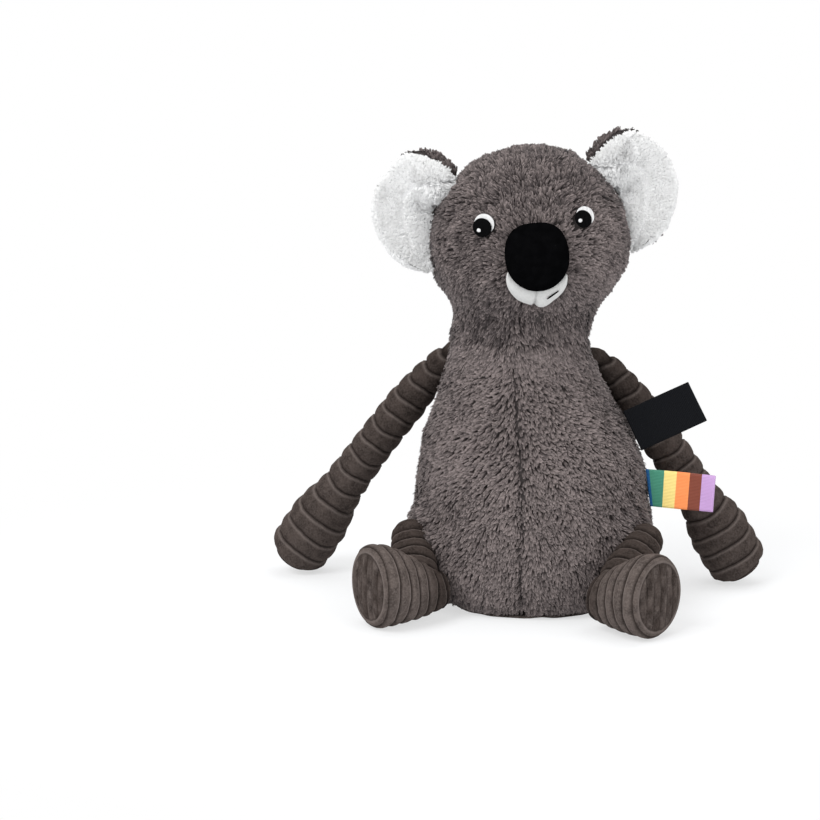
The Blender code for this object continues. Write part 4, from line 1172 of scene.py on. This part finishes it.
def gather(piece, first, last, ribs, depth, seed, ridge_width):
    """Pucker a straight ribbed tube near its creases and mark painted shade in the creases and a
    light line on the ridges.
    """
    places = places_of(piece)
    pitch = (last - first) / ribs
    phase = (places[:, 2] - first) / pitch
    inside = (phase > -0.05) & (phase < ribs + 0.05)
    share = phase - np.floor(phase)
    from_crease = np.minimum(share, 1.0 - share)
    # Painted shade, darkest in each crease between ribs.
    crease_shade = bell(np.where(share > 0.5, (share - 1.0) / 0.12, share / 0.05), 1.0) * inside * 0.85
    ridge = bell((share - 0.105) * pitch, ridge_width) * inside
    radius = np.hypot(places[:, 0], places[:, 1])
    angle = np.arctan2(places[:, 1], places[:, 0])
    rib = np.clip(np.floor(phase + 0.5), 0, ribs + 2).astype(int)
    shifts = np.random.default_rng(seed).uniform(0.0, TURN, size=(ribs + 3, 3))[rib]
    pucker = np.sin(angle * 11 + shifts[:, 0]) + 0.7 * np.sin(angle * 17 + shifts[:, 1])
    swell = np.sin(angle * 2 + shifts[:, 2])
    near = bell(from_crease, 0.22) * inside
    moved = radius + depth * (0.10 * pucker * near + 0.10 * swell * (1.0 - near))
    places[:, :2] *= np.where(radius > 0.002, moved / np.maximum(radius, 1e-6), 1.0)[:, None]
    places[:, 2] += pitch * 0.05 * np.sin(angle * 3 + shifts[:, 1]) * inside
    set_places(piece, places)
    mark(piece, "crease_shade", crease_shade)
    mark(piece, "ridge", ridge)


def ribbed_tube(name, sides, cap, end, run, seed, ridge_width, radius_at):
    """A straight tube whose run of ribs (first, last, ribs, depth) lies between its end rows."""
    tube = model_tube(name, cap + rib_rows(*run, radius_at) + end, sides)
    gather(tube, *run, seed, ridge_width)
    return tube


def lay_along(piece, place_at, axes):
    """Carry a straight tube onto a line: height becomes the way along it."""
    right, over = axes
    places = places_of(piece)
    moved = np.empty_like(places)
    middles = {}
    for index, (across, up, along) in enumerate(places):
        key = round(along, 7)
        if key not in middles:
            middles[key] = place_at(along)
        moved[index] = middles[key] + right * across + over * up
    moved[:, 2] = np.maximum(moved[:, 2], FLOOR_CLEAR)
    set_places(piece, moved)


def outward_normals(piece):
    """Turn all faces outward after a piece was bent."""
    mesh = bmesh.new()
    mesh.from_mesh(piece.data)
    bmesh.ops.recalc_face_normals(mesh, faces=mesh.faces[:])
    mesh.to_mesh(piece.data)
    mesh.free()


def square_frame(direction):
    """Across and up directions square to a limb."""
    across = direction.cross(Vector((0, 0, 1))).normalized()
    return across, across.cross(direction).normalized()


def finish_limb(piece, velour, limb, name):
    """Dress an arm or a leg and let it stand for its skin and stuffing."""
    outward_normals(piece)
    nodes = (f"{limb}_skin_{name}", f"{limb}_stuffing_{name}")
    dress(piece, velour, f"{limb}_{name}", nodes)


def make_arm(name, velour):
    """One ribbed velour arm."""
    begin = joint_place("arm_raise_" + name)
    way_to_hand = HANDS[name] - begin
    length = way_to_hand.length
    direction = way_to_hand.normalized()
    axes = square_frame(direction)
    inward = Vector((-begin.x, -begin.y, 0.0)).normalized()
    run = (SHOULDER_RADIUS * 0.6, length + HAND_END * 0.86, ARM_RIBS, ARM_RIB_DEPTH)
    tip = [(length + HAND_END * 0.95, HAND_RADIUS * 0.62),
           (length + HAND_END * 0.995, HAND_RADIUS * 0.30)]
    arm = ribbed_tube("arm_" + name, ARM_SIDES, cap_rows(SHOULDER_RADIUS, 0.9, ARM_CAP), tip, run,
                      71 + side_of(name), ARM_RIDGE, lambda way: arm_radius(way / length, length))

    def place(way):
        share = min(max(way / length, 0.0), 1.0)
        root = inward * max(ROOT_REACH - way, 0.0) * 0.6
        return begin + direction * way + axes[1] * (ARM_BOW * math.sin(math.pi * share)) + root

    mark(arm, "shade", 0.98 - 0.22 * ease(places_of(arm)[:, 2] / length * 1.4))
    lay_along(arm, place, axes)
    finish_limb(arm, velour, "arm", name)


def make_leg(name, velour):
    """One ribbed velour leg: a foot that narrows to its heel, the thigh behind it, and a sole."""
    foot_length = FOOT_LENGTHS[name]
    side = side_of(name)
    facing = Vector((math.sin(SOLE_FACING[name]), -math.cos(SOLE_FACING[name]), 0))

    def radius_at(way):
        return from_rows(FOOT_ROWS, max(foot_length - way, 0.0))

    def place(way):
        from_sole = max(foot_length - way, 0.0)
        middle = SOLES[name] - facing * (foot_length - way)
        middle.z = radius_at(way) + FOOT_CLEAR + HEEL_RISE * from_sole ** 2
        return middle

    axes = square_frame(facing)
    heel = cap_rows(radius_at(0.0), HEEL_SQUASH, LEG_CAP)
    end = [(foot_length, FOOT_ROWS[0][1] - LEG_RIB_DEPTH * 1.5)]
    run = (0.0, foot_length, FOOT_RIBS[name], LEG_RIB_DEPTH)
    foot = ribbed_tube("leg_" + name, LEG_SIDES, heel, end, run, 81 + side, LEG_RIDGE, radius_at)
    from_sole = foot_length - places_of(foot)[:, 2]
    mark(foot, "shade", 0.15 + 0.85 * ease((from_sole - 0.026) / 0.018))
    lay_along(foot, place, axes)

    inward, back, down = THIGH_SET
    root = joint_place("leg_lift_" + name) + Vector((-side * inward, back, down))
    to_knee = place(foot_length - KNEE_FROM_SOLE) - root
    length = to_knee.length
    direction = to_knee.normalized()

    def thigh_at(way):
        return THIGH_RADIUS + (KNEE_RADIUS - THIGH_RADIUS) * ease(way / length / 0.6)

    run = (0.001, length, THIGH_RIBS, LEG_RIB_DEPTH)
    thigh = ribbed_tube("thigh_" + name, LEG_SIDES, cap_rows(THIGH_RADIUS, 1.0, LEG_CAP), [], run,
                        91 + side, LEG_RIDGE, thigh_at)
    mark(thigh, "shade", 1.10 - 0.20 * places_of(thigh)[:, 2] / length)
    lay_along(thigh, lambda way: root + direction * way, square_frame(direction))
    select(foot, thigh)
    bpy.ops.object.join()
    finish_limb(foot, velour, "leg", name)
    make_sole(name, velour, place(foot_length), axes, facing)


def make_sole(name, velour, centre, axes, facing):
    """A round sole with upright ribs inside a raised seam ring."""
    deselect_all()
    radius = SOLE_RADIUS * SOLE_EDGE
    bpy.ops.mesh.primitive_circle_add(vertices=120, radius=radius, fill_type="NOTHING",
                                      location=(0.0, 0.0, -0.0012))
    sole = start("sole_" + name)
    for share, rise in SOLE_RINGS:
        draw_ring(rise, SOLE_RADIUS * share / radius)
        radius = SOLE_RADIUS * share
    close_ring()
    close_edit(sole)
    places = places_of(sole)
    radius = np.hypot(places[:, 0], places[:, 1]) / SOLE_RADIUS
    inside = ease((0.95 - radius) / 0.08)
    phase = places[:, 0] / SOLE_RIB_PITCH + 0.02 * np.sin(places[:, 1] / SOLE_RADIUS * 3.0)
    groove = np.abs(np.sin(phase * math.pi)) ** 0.6
    places[:, 2] += 0.0013 * (groove - 0.6) * inside + 0.0020 * (1.0 - radius ** 2).clip(0, 1)
    # Painted shade in the grooves and just inside the seam ring.
    mark(sole, "crease_shade", bell(groove, 0.40) * inside * 0.8 + bell(radius - 0.93, 0.03) * 0.6)
    mark(sole, "ridge", bell(radius - 0.985, 0.022) * 0.9)
    # Painted shade over the inside of the sole, uneven in patches; the seam ring stays light.
    mottled_shade = 0.42 + 0.30 * waves(places, 0.009, 86) + 0.16 * waves(places, 0.004, 87)
    mark(sole, "shade", 0.28 + mottled_shade * ease((0.97 - radius) / 0.06))
    right, over = axes
    set_places(sole, np.array(centre) + np.outer(places[:, 0], right) +
               np.outer(places[:, 1], over) + np.outer(places[:, 2] + 0.0002, facing))
    apply_modifier(sole, "SOLIDIFY", thickness=0.0012, offset=-1.0)
    outward_normals(sole)
    dress(sole, velour, "leg_" + name, ("foot_sole_" + name,))


# Tags

LABEL_LENGTH = 0.0486
LABEL_WIDTH = 0.0290
LABEL_TILT = math.radians(26.0)
LABEL_SAG = 0.0015
RIBBON_LENGTH = 0.0450
RIBBON_WIDTH = 0.0250
RIBBON_TILT = math.radians(-4.0)
RIBBON_SAG = 0.002
RIBBON_BARS = ((0.00, (0.004, 0.092, 0.262)), (0.055, (0.053, 0.262, 0.171)),
               (0.24, (0.955, 0.745, 0.250)), (0.425, (1.0, 0.300, 0.091)),
               (0.62, (0.220, 0.050, 0.026)), (0.80, (0.578, 0.352, 0.665)))
TAG_OPENING = 0.0012
TAG_PLY = 0.0005
TAG_THICKNESS = 0.00042


def make_tag(tag, node, tilt, length, width, material, sag):
    """A strip of cloth folded in half, its two ends sewn in the side seam."""
    joint = joint_entry(tag + "_flap")
    strip = 2.0 * length
    deselect_all()
    bpy.ops.mesh.primitive_grid_add(x_subdivisions=96, y_subdivisions=18, size=1.0,
                                    location=(0.0, 0.0, 0.0))
    piece = start(tag + "_loop")
    bpy.ops.transform.resize(value=(strip, width, 1.0))
    close_edit(piece)
    from_fold, lift = places_of(piece)[:, 0], places_of(piece)[:, 1]
    half = TAG_OPENING / 2 + TAG_PLY / 2
    bend = half * math.pi / 2
    turn = np.clip(from_fold / bend, -1.0, 1.0) * math.pi / 2
    in_bend = np.abs(from_fold) <= bend
    reach = np.where(in_bend, length - half + half * np.cos(turn),
                     length - half - (np.abs(from_fold) - bend))
    opened = TAG_PLY / 2 + (half - TAG_PLY / 2) * ease(reach / (length / 2))
    off = np.where(in_bend, half * np.sin(turn), np.sign(from_fold) * opened)
    reach = np.maximum(reach, -0.0004)
    share = reach / length
    off = off + sag * share ** 2 * (0.6 + 0.4 * np.sin(lift / width * 2.5 + 0.6))
    off = off + 0.0004 * np.sin(share * 7.0 + lift / width * 3.0) * share
    along = np.array((math.cos(tilt), 0.0, math.sin(tilt)))
    rise = np.array((-math.sin(tilt), 0.0, math.cos(tilt)))
    axis = np.array(joint["axis"])
    slant = (-axis / (-axis @ rise) @ along) * lift * ease(1.0 - share / 0.3)
    set_places(piece, np.array(Vector(joint["pos_m"])) + np.outer(reach + slant, along) +
               np.outer(off, (0.0, -1.0, 0.0)) + np.outer(lift, rise))
    corners = np.empty(len(piece.data.loops), dtype=np.int32)
    piece.data.loops.foreach_get("vertex_index", corners)
    set_uv(piece.data, "cloth", columns(reach[corners], lift[corners]))
    apply_modifier(piece, "SOLIDIFY", thickness=TAG_THICKNESS, offset=0.0)
    outward_normals(piece)
    dress(piece, material, tag, (node,))


def make_base(material):
    """The flat cloth panel under the body."""
    piece = soft_copy("base_panel", "base_cloth", material, body="body", levels=1)
    for name in ("crease_shade", "ridge", "shade"):
        mark(piece, name, np.zeros(len(piece.data.vertices)))


# Stage


def make_floor():
    """A pale floor that keeps the toy's shadow and fades to the plain white background."""
    deselect_all()
    bpy.ops.mesh.primitive_plane_add(size=8.0, location=(0.0, 0.0, 0.0))
    floor = bpy.context.object
    floor.name = "floor"
    paint = Paint("floor_white", roughness=1.0, specular=0.0)
    paint.shader.inputs["Base Color"].default_value = (0.93, 0.945, 0.965, 1.0)
    away = paint.node("ShaderNodeVectorMath", {"operation": "LENGTH"}, {0: paint.place()}, "Value")
    fade = paint.node("ShaderNodeMapRange", {"interpolation_type": "SMOOTHSTEP"},
                      {"Value": away, "From Min": 0.16, "From Max": 0.50, "To Min": 0.62})
    ray = paint.tree.nodes.new("ShaderNodeLightPath")
    seen = paint.node("ShaderNodeMath", {"operation": "MAXIMUM"},
                      {0: Value(paint, ray.outputs["Is Camera Ray"]),
                       1: Value(paint, ray.outputs["Is Glossy Ray"])})
    glow = paint.node("ShaderNodeEmission", {}, {"Color": (1.0, 1.0, 1.0, 1.0), "Strength": 1.0})
    mixed = paint.node("ShaderNodeMixShader", {},
                       {0: fade * seen, 1: Value(paint, paint.shader.outputs[0]), 2: glow})
    paint.link(mixed, paint.tree.nodes["Material Output"].inputs["Surface"])
    floor.data.materials.append(paint.material)


def aimed(name, data, place, target):
    """Put a lamp or the camera in its place, turned to its target."""
    holder = linked(name, data)
    holder.location = place
    holder.rotation_euler = (target - Vector(place)).to_track_quat("-Z", "Y").to_euler()
    return holder


def make_light():
    """Plain soft studio light and a white world."""
    world = bpy.data.worlds.new("studio")
    bpy.context.scene.world = world
    world.use_nodes = True
    tree = world.node_tree
    ground = tree.nodes["Background"]
    ground.inputs["Color"].default_value = (1.0, 1.0, 1.0, 1.0)
    ray = tree.nodes.new("ShaderNodeLightPath")
    level = tree.nodes.new("ShaderNodeMapRange")
    level.inputs["To Min"].default_value = WORLD_LIGHT
    level.inputs["To Max"].default_value = 1.0
    tree.links.new(ray.outputs["Is Camera Ray"], level.inputs["Value"])
    tree.links.new(level.outputs["Result"], ground.inputs["Strength"])
    for name, place, size, power in LAMPS:
        lamp = bpy.data.lights.new(name, "AREA")
        lamp.size = size
        lamp.energy = power
        aimed(name, lamp, place, LAMPS_AIM)


def make_camera():
    """The photograph's view."""
    camera = bpy.data.cameras.new("camera")
    camera.sensor_width = 36.0
    camera.lens = CAMERA_LENS
    camera.shift_x, camera.shift_y = CAMERA_SHIFT
    away = Vector((math.sin(CAMERA_AZIMUTH) * math.cos(CAMERA_RISE),
                   -math.cos(CAMERA_AZIMUTH) * math.cos(CAMERA_RISE), math.sin(CAMERA_RISE)))
    place = LOOK_AT + away * CAMERA_DISTANCE
    bpy.context.scene.camera = aimed("camera", camera, place, LOOK_AT)


def main():
    """Dress every piece of the toy."""
    bpy.context.scene.view_settings.view_transform = "Standard"
    make_camera()
    make_light()
    make_floor()
    fur = fur_paint("grey_fur", (0.22, 0.21, 0.21), (0.66, 0.65, 0.65),
                    (0.060, 0.050, 0.051), (0.445, 0.378, 0.364))
    white = fur_paint("white_pile", (0.80, 0.80, 0.81), (0.98, 0.98, 0.98),
                      (0.77, 0.77, 0.765), (0.865, 0.865, 0.86))
    fur_backing = backing_paint("fur_backing", (0.055, 0.047, 0.046))
    white_backing = backing_paint("white_backing", (0.70, 0.70, 0.70))
    velour = velour_paint("brown_velour", (0.022, 0.017, 0.015), (0.088, 0.071, 0.064),
                          (0.180, 0.150, 0.138))
    velvet = velvet_paint("nose_velvet_black", (0.0016, 0.0016, 0.0018), (0.0026, 0.0026, 0.0029))
    minky = minky_paint("mouth_white", (0.52, 0.52, 0.51), (0.62, 0.62, 0.605))
    black_thread = thread_paint("thread_black", (0.0035, 0.0035, 0.0042), (0.001, 0.001, 0.001))
    white_thread = thread_paint("thread_white", (0.85, 0.85, 0.85), (0.50, 0.50, 0.50))
    label = weave_paint("label_black", (0.007, 0.008, 0.010), (0.002, 0.002, 0.003))
    ribbon = ribbon_paint("ribbon_bars", RIBBON_BARS)
    make_body_fur(fur, fur_backing)
    make_head_fur(fur, fur_backing)
    for name in ("left", "right"):
        make_ear(name, fur, white, fur_backing, white_backing)
        make_arm(name, velour)
        make_leg(name, velour)
    make_face(velvet, minky, black_thread, white_thread)
    make_tag("label", "woven_label", LABEL_TILT, LABEL_LENGTH, LABEL_WIDTH, label, LABEL_SAG)
    make_tag("ribbon", "striped_ribbon", RIBBON_TILT, RIBBON_LENGTH, RIBBON_WIDTH, ribbon,
             RIBBON_SAG)
    make_base(velour)


main()
